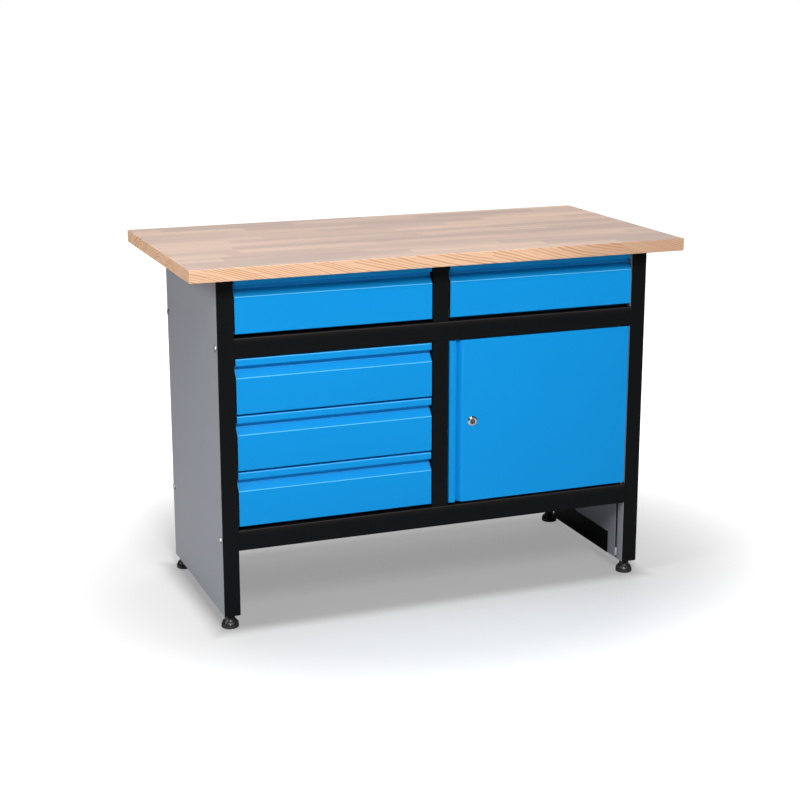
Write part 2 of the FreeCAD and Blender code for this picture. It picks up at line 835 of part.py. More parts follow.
def lock_cam():
    """The locking bar on the plug's tail; it points up when the door is unlocked."""
    half = cam_width / 2
    bar = block((lock_x - half, lock_x + half), (plug_end_y, plug_end_y + cam_thickness),
                (lock_z, lock_z + cam_reach))
    root = rod(half, (lock_x, plug_end_y, lock_z), along_y, cam_thickness)
    hole = rod(cam_screw_radius + stud_clearance, (lock_x, plug_end_y, lock_z), along_y, cam_thickness)
    return bar.fuse(root).removeSplitter().cut(hole)


def cam_screw():
    """The screw that holds the cam on the plug."""
    seat = (lock_x, plug_end_y + cam_thickness, lock_z)
    head = rod(cam_screw_head_radius, seat, along_y, cam_screw_head_height)
    shank = rod(cam_screw_radius, seat, -along_y, cam_screw_length)
    return head.fuse(shank).removeSplitter()


# ---------------------------------------------------------------- cupboard fittings


def shelf_span():
    """The shelf's front and rear edges."""
    return front_y + shelf_front_gap, rear_rail_front_y - shelf_rear_gap


def shelf():
    """The cupboard shelf, a sheet with its front and rear edges turned down."""
    front, rear = shelf_span()
    outline = [(front, shelf_z - shelf_edge), (front, shelf_z), (rear, shelf_z), (rear, shelf_z - shelf_edge)]
    left = bay_inner + shelf_side_gap
    right = leg_inner - shelf_side_gap
    return bent_sheet(outline[::-1], shelf_sheet, "section", left, right)


def shelf_supports():
    """Four angle clips under the shelf's corners."""
    front, rear = shelf_span()
    top = shelf_z - shelf_sheet
    left_wall = post_half - rail_sheet
    clips = []
    for start in (front + support_inset, rear - support_inset - support_length):
        left = [(left_wall, top - support_leg), (left_wall, top), (left_wall + support_leg, top)]
        right = [(leg_inner - support_leg, top), (leg_inner, top), (leg_inner, top - support_leg)]
        for outline in (left, right):
            clips.append(bent_sheet(outline[::-1], support_sheet, "front", start, start + support_length))
    return Part.makeCompound(clips)


# ---------------------------------------------------------------- the whole bench


def frame_pieces():
    """The nodes of the frame, its sheets and its fasteners."""
    upper_post = (middle_rail_top, underside)
    lower_post = (lower_rail_top, middle_rail_bottom)
    rear_rails = [rail(bottom, bottom + rail_height, rear_y, -1)
                  for bottom in (lower_rail_bottom, middle_rail_bottom)]
    return {
        "worktop": worktop(),
        "worktop_screws": worktop_screws(),
        "side_panel_right": side_panel(),
        "side_panel_left": mirrored(side_panel()),
        "front_leg_right": front_leg(),
        "front_leg_left": mirrored(front_leg()),
        "lower_rail": rail(lower_rail_bottom - lower_rail_drop, lower_rail_top, front_y, 1),
        "middle_rail": rail(middle_rail_bottom, middle_rail_top, front_y, 1),
        "rear_rails": Part.makeCompound(rear_rails),
        "centre_post_upper": post(front_y, 1, upper_post, tab=True),
        "centre_post_lower": post(front_y, 1, lower_post, right_depth=keeper_depth),
        "rear_post": post(rear_rail_front_y, -1, (floor_top, underside), tab=True),
        "centre_partition": partition(),
        "floor_pan": cover(cover_gap - leg_inner, lower_rail_top),
        "cupboard_cover": cover(post_half + cover_gap, middle_rail_top),
        "back_panel": back_panel(),
        "back_panel_screws": panel_screws(),
        "frame_bolts": frame_bolts(),
        "frame_nuts": frame_nuts(),
        "foot_plates": foot_plates(),
        "cupboard_shelf": shelf(),
        "shelf_supports": shelf_supports(),
    }


def door_pieces():
    """The nodes of the door, its hinge and its lock."""
    return {
        "door_panel": door_panel(),
        "door_inner_pan": door_inner_pan(),
        "hinge_brackets": hinge_brackets(),
        "hinge_pins": hinge_pins(),
        "lock_housing": lock_housing(),
        "lock_nut": lock_nut(),
        "lock_plug": lock_plug(),
        "lock_cam": lock_cam(),
        "cam_screw": cam_screw(),
    }


def foot_pieces():
    """The nodes of the four levelling feet."""
    nodes = {}
    for name, (x, y) in foot_places().items():
        nodes["foot_" + name] = foot(x, y)
        nodes["foot_stud_" + name] = foot_stud(x, y)
    return nodes


os.makedirs("parts", exist_ok=True)
pieces = {**frame_pieces(), **drawer_pieces(), **door_pieces(), **foot_pieces()}
for node, shape in pieces.items():
    shape.exportStep(os.path.join("parts", node + ".step"))
print(len(pieces), "nodes, overall height", overall_height)
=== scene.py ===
import json
import math

import bmesh
import bpy
from mathutils import Euler, Matrix, Vector


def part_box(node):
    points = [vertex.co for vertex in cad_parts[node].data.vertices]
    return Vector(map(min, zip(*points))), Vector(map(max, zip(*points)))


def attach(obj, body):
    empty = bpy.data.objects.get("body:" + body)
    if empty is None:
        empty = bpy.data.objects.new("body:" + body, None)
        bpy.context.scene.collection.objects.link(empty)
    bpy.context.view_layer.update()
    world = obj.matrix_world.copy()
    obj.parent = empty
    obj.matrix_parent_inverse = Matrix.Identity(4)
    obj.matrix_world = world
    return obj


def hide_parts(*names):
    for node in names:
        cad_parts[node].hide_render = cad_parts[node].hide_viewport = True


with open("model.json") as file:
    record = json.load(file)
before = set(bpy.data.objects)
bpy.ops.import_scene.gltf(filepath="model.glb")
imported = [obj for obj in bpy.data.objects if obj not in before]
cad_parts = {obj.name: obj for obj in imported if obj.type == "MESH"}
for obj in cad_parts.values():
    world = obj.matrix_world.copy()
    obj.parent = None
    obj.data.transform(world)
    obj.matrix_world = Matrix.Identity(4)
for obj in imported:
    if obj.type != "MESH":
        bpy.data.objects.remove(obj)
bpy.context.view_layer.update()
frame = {"nodes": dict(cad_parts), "record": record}

bl_info = {
    "name": "Workbench with drawers",
    "version": (1, 0, 0),
    "blender": (4, 5, 0),
    "location": "View3D > Sidebar > Workbench",
    "description": "Builds the visible pieces and finishes of a steel workbench round its packed frame",
    "category": "Add Mesh",
}

DRAWERS = ["upper_left", "upper_right", "lower_top", "lower_middle", "lower_bottom"]
FEET = ["front_left", "front_right", "rear_left", "rear_right"]
MM = 0.001
QUARTER_TURN = math.pi / 2
WELD_GAP = 0.001 * MM      # corners nearer than this are one
EASE_ANGLE = 50.0          # degrees; corners sharper than this are eased
FINE_SMOOTH = 30.0         # degrees; smooth shading limit on small turned pieces
PLUG_GAP = 0.05 * MM       # the lock plug's clearance in its bore
KEYWAY = Vector((1.6, 12.0, 7.0)) * MM    # the key slot's width, depth and height


# Settings


def length(name, description, default):
    """A length property, given in millimetres."""
    return bpy.props.FloatProperty(name=name, description=description, default=default * MM,
                                   min=0.0, unit="LENGTH", precision=4)


def number(name, description, default, low=0.0, high=1000.0):
    """A plain number property."""
    return bpy.props.FloatProperty(name=name, description=description, default=default,
                                   min=low, max=high)


def whole(name, description, default, low=1):
    """A counted property."""
    return bpy.props.IntProperty(name=name, description=description, default=default, min=low)


def colour(name, description, default):
    """A linear colour property."""
    return bpy.props.FloatVectorProperty(name=name, description=description, default=default,
                                         subtype="COLOR", size=3, min=0.0, max=1.0)


def angle(name, description, degrees):
    """An angle property."""
    return bpy.props.FloatProperty(name=name, description=description,
                                   default=math.radians(degrees), subtype="ANGLE")


class WorktopSettings(bpy.types.PropertyGroup):
    edge: length("Eased edge", "Radius of the worktop's eased edges", 1.4)
    stave_width: length("Stave width", "Width of one glued stave", 44.0)
    stave_length: length("Stave length", "Usual length of one stave", 330.0)
    ring_spacing: length("Ring spacing", "Distance between growth rings", 6.5)
    # The pale and dark colours are the top face's: paler and pinker than the sides' colours, partly as a
    # painted sheen.
    pale: colour("Pale wood", "Colour of the palest staves", (0.68, 0.50, 0.395))
    dark: colour("Dark wood", "Colour of the darkest staves", (0.44, 0.345, 0.305))
    edge_pale: colour("Pale edge", "Early wood on the board's sides", (0.86, 0.56, 0.37))
    edge_dark: colour("Dark edge", "Late wood on the board's sides", (0.58, 0.27, 0.12))


class PaintSettings(bpy.types.PropertyGroup):
    blue: colour("Blue", "Drawer and door powder coat", (0.004, 0.285, 0.71))
    black: colour("Black", "Frame powder coat", (0.004, 0.0045, 0.005))
    grey: colour("Grey", "Side panel powder coat", (0.29, 0.305, 0.345))
    # The three bend colours below are painted highlights: paler paint on bends that face slightly upwards,
    # standing in for the light they catch, not a thinner coat.
    blue_bend_highlight: colour("Thin blue", "Blue where the coat is thin round a bend", (0.16, 0.62, 1.0))
    black_bend_highlight: colour("Thin black", "Black where the coat is thin round a bend",
                       (0.050, 0.042, 0.038))
    grey_bend_highlight: colour("Thin grey", "Grey where the coat is thin round a bend", (0.42, 0.43, 0.46))
    peel: length("Orange peel", "Size of the powder coat's fine texture", 0.9)


class FrontSettings(bpy.types.PropertyGroup):
    sheet: length("Sheet", "Thickness of the folded sheet", 1.0)
    bend: length("Bend", "Inside radius of a bend", 0.8)
    steps: whole("Bend steps", "Faces round each bend", 6)
    ease: length("Eased edge", "Rounding of the sheet's cut edges", 0.2)
    lip: length("Lip", "Height of a drawer's lip", 16.5)
    lip_setback: length("Lip setback", "How far the lip stands behind the face", 2.0)
    grip: length("Grip", "Depth of the finger grip", 14.0)
    wall: length("Grip wall", "Height of the grip's back wall", 10.0)
    slope: length("Grip slope", "Height of the slope below the grip", 16.3)
    crease: length("Crease", "Inside radius of the bend below a drawer's slope", 1.8)
    door_lip: length("Door lip", "Width of the door's lip", 16.0)
    door_wall: length("Door grip wall", "Width of the door grip's back wall", 6.0)
    door_slope: length("Door grip slope", "Width of the slope beside the door's grip", 10.0)
    door_crease: length("Door crease", "Inside radius of the door's soft crease", 6.0)


class FrameSettings(bpy.types.PropertyGroup):
    sheet: length("Sheet", "Thickness of the rails' and posts' sheet", 1.5)
    panel: length("Panel sheet", "Thickness of the side panels", 1.2)
    bend: length("Bend", "Inside radius of a bend", 0.8)
    steps: whole("Bend steps", "Faces round each bend", 5)
    ease: length("Eased edge", "Rounding of the sheets' cut edges", 0.25)
    fold: length("Fold", "Depth of a side panel's folded edge", 28.0)
    rear_fold: length("Rear fold", "Depth of a side panel's rear fold", 26.0)
    flange_setback: length("Flange setback", "Gap between the flange and the folds", 2.0)
    liner: length("Liner", "Thickness of the liner inside a side panel", 1.0)
    liner_front: length("Liner front gap", "Gap between the front fold and the liner", 10.0)
    liner_rear: length("Liner rear gap", "Gap between the liner and the rear fold", 58.0)
    keeper: length("Keeper", "Depth of the centre post's side that the lock's cam catches", 22.0)
    tab: length("Tab", "Length of a post's tab below the worktop", 38.0)


class FootSettings(bpy.types.PropertyGroup):
    ribs: whole("Ribs", "Ribs round one foot", 8)
    rib: length("Rib", "Thickness of one rib", 3.0)
    rim: length("Rim", "Height where the pockets between the ribs start", 6.2)
    shoulder: length("Shoulder", "Height where the foot starts to slope in", 11.0)
    pocket: length("Pocket", "Height where the pockets end", 14.6)
    collar: length("Collar", "Height where the slope meets the neck", 20.0)
    core: length("Core", "Radius of the middle behind the pockets", 12.0)


class FastenerSettings(bpy.types.PropertyGroup):
    width: length("Head width", "Width across a bolt head's flats", 13.0)
    chamfer: length("Chamfer", "Height of the bolt head's chamfer", 1.1)
    washer: length("Washer face", "Thickness of the washer face under a head", 0.6)
    pitch: length("Thread pitch", "Distance between a bolt's threads", 1.25)
    recess: length("Recess", "Width of a screw head's cross recess", 1.0)
    recess_depth: length("Recess depth", "Depth of a screw head's cross recess", 1.2)


class StageSettings(bpy.types.PropertyGroup):
    camera: bpy.props.FloatVectorProperty(
        name="Camera", description="Place of the camera", subtype="TRANSLATION",
        unit="LENGTH", default=(-1.4411, -3.7123, 1.4638))
    yaw: angle("Yaw", "How far the camera turns to the right of straight on", 21.166)
    pitch: angle("Pitch", "How far the camera looks down", 14.535)
    lens: number("Lens", "Focal length in millimetres", 75.76)
    ambient: number("Ambient", "Strength of the light from all round", 0.055)
    floor: colour("Floor", "Colour of the floor", (0.64, 0.64, 0.64))
    reach: length("Floor reach", "Half the width of the floor", 30000.0)


# Node graphs


class Value:
    """A node's output that Python expressions can work with."""

    def __init__(self, graph, socket):
        self.graph = graph
        self.socket = socket

    def maths(self, operation, *others):
        sockets = dict(enumerate((self, *others)))
        return self.graph.add("ShaderNodeMath", {"operation": operation}, sockets)

    def __add__(self, other):
        return self.maths("ADD", other)

    __radd__ = __add__

    def __sub__(self, other):
        return self.maths("SUBTRACT", other)

    def __rsub__(self, other):
        return self.graph.add("ShaderNodeMath", {"operation": "SUBTRACT"}, {0: other, 1: self})

    def __mul__(self, other):
        return self.maths("MULTIPLY", other)

    __rmul__ = __mul__

    def __truediv__(self, other):
        return self.maths("DIVIDE", other)

    def floor(self):
        return self.maths("FLOOR")

    def fraction(self):
        return self.maths("FRACT")

    def above(self, edge):
        return self.maths("GREATER_THAN", edge)

    def clamped(self, low, high):
        """0 below low, 1 above high, and a smooth rise between."""
        return self.graph.add("ShaderNodeMapRange", {"interpolation_type": "SMOOTHSTEP"},
                              {0: self, 1: low, 2: high, 3: 0.0, 4: 1.0})


class Graph:
    """A node tree that is built one call at a time."""

    def __init__(self, tree):
        self.tree = tree

    def add(self, kind, settings=None, sockets=None, out=0):
        """A new node of a kind, with its settings and then its sockets; returns one output."""
        node = self.tree.nodes.new(kind)
        for name, value in (settings or {}).items():
            setattr(node, name, value)
        for name, value in (sockets or {}).items():
            if isinstance(value, Value):
                self.tree.links.new(value.socket, node.inputs[name])
            else:
                node.inputs[name].default_value = value
        return Value(self, node.outputs[out]) if node.outputs else node

    def vector(self, x, y, z=0.0):
        return self.add("ShaderNodeCombineXYZ", {}, {0: x, 1: y, 2: z})

    def split(self, vector):
        return [self.add("ShaderNodeSeparateXYZ", {}, {0: vector}, out) for out in range(3)]

    def noise(self, vector, scale, detail=2.0, roughness=0.5):
        sockets = {"Vector": vector, "Scale": scale, "Detail": detail, "Roughness": roughness}
        return self.add("ShaderNodeTexNoise", {}, sockets)

    def chance(self, number):
        """A random value for each whole step of a number."""
        sockets = {"W": number + 0.5}
        return self.add("ShaderNodeTexWhiteNoise", {"noise_dimensions": "1D"}, sockets)

    def mix(self, factor, first, second):
        """A mix of two colours, given as sockets or as plain colours."""
        tones = [tone if isinstance(tone, Value) else (*tone, 1.0) for tone in (first, second)]
        return self.add("ShaderNodeMix", {"data_type": "RGBA"},
                        {0: factor, 6: tones[0], 7: tones[1]}, 2)

    def bump(self, height, distance, strength=1.0, normal=None):
        sockets = {"Height": height, "Distance": distance, "Strength": strength}
        if normal is not None:
            sockets["Normal"] = normal
        return self.add("ShaderNodeBump", {}, sockets)

    def stretched(self, vector, x, y, z):
        """A vector scaled by a different amount along each axis."""
        return self.add("ShaderNodeMapping", {}, {"Vector": vector, "Scale": (x, y, z)})


def new_material(name, **fixed):
    """A material with a Principled shader whose fixed values are set on its own sockets."""
    material = bpy.data.materials.new(name)
    material.use_nodes = True
    graph = Graph(material.node_tree)
    shader = material.node_tree.nodes["Principled BSDF"]
    for socket, value in fixed.items():
        shader.inputs[socket.replace("_", " ").title().replace("Ior", "IOR")].default_value = value
    place = graph.add("ShaderNodeTexCoord", {}, {}, "Object")
    return material, graph, shader, place


def feed(graph, shader, **sockets):
    """Links values into the shader's varying sockets."""
    for socket, value in sockets.items():
        graph.tree.links.new(value.socket, shader.inputs[socket.replace("_", " ").title()])


def powder_coat(name, tone, thin, gloss, shine, peel):
    """Powder-coated steel: cloudy gloss, a fine orange peel, and a painted highlight in a paler colour on
    bends that face slightly upwards.
    """
    material, graph, shader, place = new_material(name, specular_ior_level=shine)
    cloud = graph.noise(place, 5.0, 3.0)
    shade = graph.mix(cloud, [part * 0.95 for part in tone], tone)
    # Painted highlight: bends whose normals tilt a little upwards get the paler colour, as if catching the
    # light from above.
    rise = graph.split(graph.add("ShaderNodeNewGeometry", {}, {}, "Normal"))[2]
    bend = rise.clamped(0.03, 0.20) * (1.0 - rise.clamped(0.44, 0.62))
    shade = graph.mix(bend, shade, thin)
    dust = graph.noise(place, 60.0, 4.0, 0.7)
    orange_peel = graph.noise(place, 1.0 / peel, 1.0)
    waves = graph.noise(place, 7.0, 1.0)
    gentle = graph.bump(waves, 0.0006, 0.35)
    feed(graph, shader, base_color=shade, roughness=gloss + 0.10 * dust + 0.04 * cloud,
         normal=graph.bump(orange_peel, 0.00006, 0.5, gentle))
    return material


def zinc_plate(name):
    """Bright zinc plate with a faint cloudy bloom and fine draw marks."""
    material, graph, shader, place = new_material(name, metallic=1.0)
    bloom = graph.noise(place, 90.0, 4.0, 0.65)
    marks = graph.noise(graph.stretched(place, 60.0, 60.0, 900.0), 4.0, 2.0)
    tone = graph.mix(bloom, (0.30, 0.31, 0.32), (0.48, 0.48, 0.47))
    feed(graph, shader, base_color=tone, roughness=0.26 + 0.22 * bloom,
         normal=graph.bump(marks, 0.00004, 0.4))
    return material


def polished_metal(name, tone, gloss):
    """Plated metal with hairline scratches."""
    material, graph, shader, place = new_material(name, metallic=1.0)
    scratches = graph.noise(graph.stretched(place, 1500.0, 1500.0, 160.0), 1.0, 3.0, 0.7)
    bloom = graph.noise(place, 220.0, 2.0)
    shade = graph.mix(bloom, [part * 0.86 for part in tone], tone)
    feed(graph, shader, base_color=shade, roughness=gloss + 0.14 * scratches,
         normal=graph.bump(scratches, 0.00002, 0.3))
    return material


def moulded_plastic(name, foot, centres):
    """Black moulded plastic with a fine grain, floor dust and a painted highlight: pale grey on the middle
    behind the ribs, for the light the pockets catch.
    """
    material, graph, shader, place = new_material(name, specular_ior_level=0.5)
    grain = graph.noise(place, 2600.0, 2.0)
    dust = graph.noise(place, 140.0, 4.0, 0.7)
    x, y, height = graph.split(place)
    reach = None
    for centre in centres:
        away = ((x - centre.x) * (x - centre.x) + (y - centre.y) * (y - centre.y)).maths("SQRT")
        reach = away if reach is None else reach.maths("MINIMUM", away)
    # Painted highlight: the pockets' middle behind the ribs is painted pale grey for the light it catches
    # and reflects.
    middle = 1.0 - reach.clamped(foot.core + 0.2 * MM, foot.core + 2.0 * MM)
    middle = middle * height.clamped(foot.rim, foot.rim + 1.5 * MM)
    middle = middle * (1.0 - height.clamped(foot.pocket - 0.6 * MM, foot.pocket + 0.4 * MM))
    dusty = (1.0 - height.clamped(0.0, 0.012)) * dust * 0.5
    tone = graph.mix(dusty, (0.020, 0.020, 0.021), (0.095, 0.092, 0.088))
    tone = graph.mix(middle, tone, (0.42, 0.42, 0.43))
    feed(graph, shader, base_color=tone, roughness=0.26 + 0.2 * dust,
         normal=graph.bump(grain, 0.00005, 0.4))
    return material


def glued_wood(name, settings, low, high):
    """A board of glued staves: each has its own tone, ring slope and grain, in the solid."""
    material, graph, shader, place = new_material(name, specular_ior_level=0.35)
    x, y, z = graph.split(place)

    # Which stave a point is in: rows across the depth, staggered pieces along the length.
    rows = (y - low.y) / settings.stave_width
    row = rows.floor()
    row_chance = graph.chance(row)
    along = (x - low.x) / settings.stave_length + row_chance * 7.0
    piece = along.floor()
    chance = graph.add("ShaderNodeTexWhiteNoise", {"noise_dimensions": "2D"},
                       {"Vector": graph.vector(row + 3.5, piece + 11.5)}, "Color")
    tone_chance, slope_chance, shift_chance = graph.split(chance)

    # Growth rings: layers whose slope and spacing change from stave to stave.
    warp = graph.noise(graph.vector(x * 5.0, y * 5.0 + shift_chance * 40.0, z * 16.0), 1.0, 2.0, 0.5)
    drift = graph.noise(graph.vector(x * 1.6 + shift_chance * 9.0, 0.0), 1.0, 1.0)
    tilt = 0.16 + 0.26 * slope_chance + (drift - 0.5) * 0.08
    cup = (rows.fraction() - 0.5) * (slope_chance - 0.5) * 0.07
    layer = z * 0.94 + (x - low.x) * tilt + y * 0.35 + cup + warp * 0.016 + shift_chance * 3.0
    spread = settings.ring_spacing * (0.55 + 0.85 * tone_chance)
    phase = layer / spread
    ring = phase.fraction()
    weight = graph.chance(phase.floor())
    late = ring.clamped(0.25, 0.93) * (1.0 - ring.clamped(0.93, 1.0)) * (0.25 + 0.75 * weight)

    # Fibres, pores and glue lines.
    def grain(along_board, across_board, detail, roughness=0.5):
        stretched = graph.stretched(place, along_board, across_board, across_board)
        return graph.noise(stretched, 1.0, detail, roughness)

    fibres = grain(9.0, 420.0, 4.0, 0.62)
    streaks = grain(2.2, 60.0, 3.0, 0.6)
    clouds = grain(1.3, 9.0, 2.0)
    veins = grain(2.6, 130.0, 2.0).clamped(0.64, 0.76)
    pores = grain(42.0, 1500.0, 1.0).clamped(0.66, 0.74)
    row_edge = (rows.fraction() - 0.5).maths("ABSOLUTE").clamped(0.488, 0.5)
    end_edge = (along.fraction() - 0.5).maths("ABSOLUTE").clamped(0.4988, 0.5)
    glue = row_edge.maths("MAXIMUM", end_edge)

    # The upper face is painted paler and less saturated than the sides, partly as painted sheen for the
    # light it catches and partly as its own tone; the sides show the rings strongly.
    normal = graph.add("ShaderNodeNewGeometry", {}, {}, "Normal")
    top_face_with_sheen = graph.split(normal)[2].clamped(0.55, 0.9)
    blend = tone_chance * 0.50 + clouds * 0.80 + streaks * 0.80 - 0.64
    top_tone = graph.mix(blend.clamped(0.0, 1.0), settings.dark, settings.pale)
    top_tone = graph.mix(late * 0.10 + fibres * 0.12, top_tone, (0.40, 0.27, 0.21))
    top_tone = graph.mix(veins * 0.42, top_tone, (0.24, 0.16, 0.13))
    side_tone = graph.mix((late * 0.95 + streaks * 0.30 - 0.12).clamped(0.0, 1.0),
                          settings.edge_pale, settings.edge_dark)
    # The sides turn darker towards the right end.
    darker_to_right = (x - high.x).clamped(-0.42, -0.16) * 0.45
    side_tone = graph.mix(darker_to_right, side_tone, (0.38, 0.22, 0.14))

    # A few small tight knots, on the board's sides only.
    cells = graph.stretched(place, 8.0, 12.0, 22.0)
    knots = graph.add("ShaderNodeTexVoronoi", {}, {"Vector": cells, "Scale": 1.0})
    knot = 1.0 - knots.clamped(0.05, 0.10)
    side_tone = graph.mix(knot * 0.85, side_tone, (0.09, 0.045, 0.03))
    tone = graph.mix(top_face_with_sheen, side_tone, top_tone)
    tone = graph.mix(pores * 0.25 + glue * 0.12, tone, (0.26, 0.14, 0.08))

    relief = fibres * 0.6 - pores * 1.0 - glue * 0.8 + late * 0.3
    feed(graph, shader, base_color=tone, roughness=0.46 + 0.14 * streaks + 0.10 * pores,
         normal=graph.bump(relief, 0.00008, 0.6))
    return material


def studio_floor(name, tone, low, high):
    """A pale seamless floor with a painted shadow between low and high, and a glow seen only by the camera
    that whitens it away from the bench and lifts the painted shadow.
    """
    material, graph, shader, place = new_material(name, specular_ior_level=0.05)
    x, y, z = graph.split(place)
    centre = (low + high) / 2
    half = (high - low) / 2
    outside = ((x - centre.x).maths("ABSOLUTE") - half.x).maths(
        "MAXIMUM", (y - centre.y).maths("ABSOLUTE") - half.y)
    # Painted shadow: the floor's colour is darkened under the bench's footprint.
    shaded = 1.0 - outside.clamped(-0.02, 0.05)
    mottle = graph.noise(place, 2.0, 2.0)
    shade = graph.mix(mottle, [part * 0.992 for part in tone], tone)
    shade = graph.mix(shaded, shade, [part * 0.2 for part in tone])
    # Painted light: a glow seen only by the camera, brighter away from the bench and over the painted
    # shadow.
    distance = (x * x * 0.7 + y * y).maths("SQRT")
    seen = graph.add("ShaderNodeLightPath", {}, {}, "Is Camera Ray")
    glow = (distance.clamped(0.5, 1.3) * 0.85 + 0.17 + shaded * 0.15) * seen
    light = graph.mix(glow, (0.0, 0.0, 0.0), (1.0, 1.0, 1.0))
    shader.inputs["Emission Strength"].default_value = 1.0
    feed(graph, shader, base_color=shade, roughness=0.75 + 0.1 * mottle, emission_color=light)
    return material


# Mesh helpers


def add_object(name, mesh, material):
    """A named object for a mesh, with its material."""
    item = bpy.data.objects.new(name, mesh)
    bpy.context.scene.collection.objects.link(item)
    mesh.materials.clear()
    mesh.materials.append(material)
    return item


def mesh_from(bm, name, smooth_angle=35.0):
    """A mesh from bmesh data, smooth apart from its sharp corners."""
    bmesh.ops.remove_doubles(bm, verts=bm.verts, dist=WELD_GAP)
    bmesh.ops.recalc_face_normals(bm, faces=bm.faces)
    mesh = bpy.data.meshes.new(name)
    bm.to_mesh(mesh)
    bm.free()
    mesh.shade_smooth()
    mesh.set_sharp_from_angle(angle=math.radians(smooth_angle))
    return mesh


def settle(item):
    """Turns an object's modifiers into a plain mesh."""
    view = bpy.context.evaluated_depsgraph_get()
    view.update()
    mesh = bpy.data.meshes.new_from_object(item.evaluated_get(view), depsgraph=view)
    item.modifiers.clear()
    item.data = mesh
    return item


def finish_piece(item, body, slot, *nodes):
    """Puts a finished piece on its body and in the CAD nodes' place."""
    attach(item, body)
    if nodes:
        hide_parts(*nodes)
    return item


def ease_edges(item, width, segments=2):
    """Rounds an object's sharp edges and settles it."""
    bevel = item.modifiers.new("Ease", "BEVEL")
    bevel.width = width
    bevel.segments = segments
    bevel.limit_method = "ANGLE"
    bevel.angle_limit = math.radians(EASE_ANGLE)
    return settle(item)


def cut_away(item, cutter, joined=False):
    """Cuts one object out of another, settles what is left and removes the cutter."""
    cut = item.modifiers.new("Cut", "BOOLEAN")
    cut.operation = "DIFFERENCE"
    cut.solver = "EXACT"
    cut.use_self = joined
    cut.object = cutter
    settle(item)
    bpy.data.objects.remove(cutter)


def add_piece(name, bm, slot, body, node, ease, segments=2):
    """Makes an eased piece from mesh data and puts it on its body, in its CAD node's place."""
    item = add_object(name, mesh_from(bm, name), FINISHES[slot])
    ease_edges(item, ease, segments)
    return finish_piece(item, body, slot, node)


def rounded_path(points, radii, steps):
    """Points along a path whose inner corners are rounded by arcs of the given radii."""
    path = [points[0]]
    for before, corner, after, radius in zip(points, points[1:], points[2:], radii):
        back = (before - corner).normalized()
        ahead = (after - corner).normalized()
        half_turn = back.angle(ahead) / 2
        start = corner + back * (radius / math.tan(half_turn))
        end = corner + ahead * (radius / math.tan(half_turn))
        centre = corner + (back + ahead).normalized() * (radius / math.sin(half_turn))
        along = (end - start).normalized()
        middle = (corner - centre).normalized()
        for step in range(steps + 1):
            sweep = (math.pi - 2 * half_turn) * (step / steps - 0.5)
            path.append(centre + (middle * math.cos(sweep) + along * math.sin(sweep)) * radius)
    path.append(points[-1])
    return path


def folded_sheet(points, sheet, bend, steps, place, start, end):
    """Closed mesh data for a sheet folded along points and drawn from start to end.

    place(u, v, w) puts a profile point in space; a point's third value is its own bend."""
    near = [Vector(point[:2]) for point in points]
    bends = [point[2] if len(point) > 2 else bend for point in points[1:-1]]
    ways = [(after - before).normalized() for before, after in zip(near, near[1:])]
    lefts = [Vector((-way.y, way.x)) for way in ways]
    far = [near[0] + lefts[0] * sheet]
    near_radii = []
    far_radii = []
    for corner, own_bend, left, next_left in zip(near[1:], bends, lefts, lefts[1:]):
        far.append(corner + (left + next_left) * (sheet / (1 + left.dot(next_left))))
        turns_left = left.x * next_left.y - left.y * next_left.x > 0
        near_radii.append(own_bend + sheet if turns_left else own_bend)
        far_radii.append(own_bend if turns_left else own_bend + sheet)
    far.append(near[-1] + lefts[-1] * sheet)
    sides = [rounded_path(near, near_radii, steps), rounded_path(far, far_radii, steps)]
    bm = bmesh.new()
    rows = [[[bm.verts.new(place(p.x, p.y, w)) for p in side] for side in sides] for w in (start, end)]
    last = len(sides[0]) - 1
    for here in range(last):
        for side in (0, 1):
            bm.faces.new([rows[0][side][here], rows[0][side][here + 1],
                          rows[1][side][here + 1], rows[1][side][here]])
        for row in rows:
            bm.faces.new([row[0][here], row[0][here + 1], row[1][here + 1], row[1][here]])
    for here in (0, last):
        bm.faces.new([rows[0][0][here], rows[0][1][here], rows[1][1][here], rows[1][0][here]])
    return bm


def across(u, v, w):
    """A profile in y and z, drawn along x."""
    return Vector((w, u, v))


def upright(u, v, w):
    """A profile in x and y, drawn along z."""
    return Vector((u, v, w))


def lathed(bm, profile, segments, place=Matrix.Identity(4)):
    """Adds a solid of revolution about z from (radius, height) points that start and end at 0."""
    rings = []
    for radius, height in profile:
        if radius == 0:
            rings.append([bm.verts.new(place @ Vector((0, 0, height)))])
            continue
        turns = [2 * math.pi * step / segments for step in range(segments)]
        rings.append([bm.verts.new(place @ Vector((radius * math.cos(t), radius * math.sin(t), height)))
                      for t in turns])
    for low, high in zip(rings, rings[1:]):
        for step in range(segments):
            corners = [ring[(step + ahead) % len(ring)] for ring, ahead in
                       ((low, 0), (low, 1), (high, 1), (high, 0))]
            bm.faces.new(list(dict.fromkeys(corners)))


def slab(low, high):
    """Closed mesh data for a flat piece between two corners."""
    bm = bmesh.new()
    bmesh.ops.create_cube(bm, size=1.0)
    for vertex in bm.verts:
        vertex.co = Vector([bottom + (part + 0.5) * (top - bottom)
                            for part, bottom, top in zip(vertex.co, low, high)])
    return bm


def merge(bm, other):
    """Moves another piece's mesh data into bm."""
    spare = bpy.data.meshes.new("spare")
    other.to_mesh(spare)
    other.free()
    bm.from_mesh(spare)
    bpy.data.meshes.remove(spare)


def join_rings(bm, first, second):
    """Adds a band of faces between two rings with the same number of corners."""
    for step in range(len(first)):
        after = (step + 1) % len(first)
        bm.faces.new([first[step], first[after], second[after], second[step]])


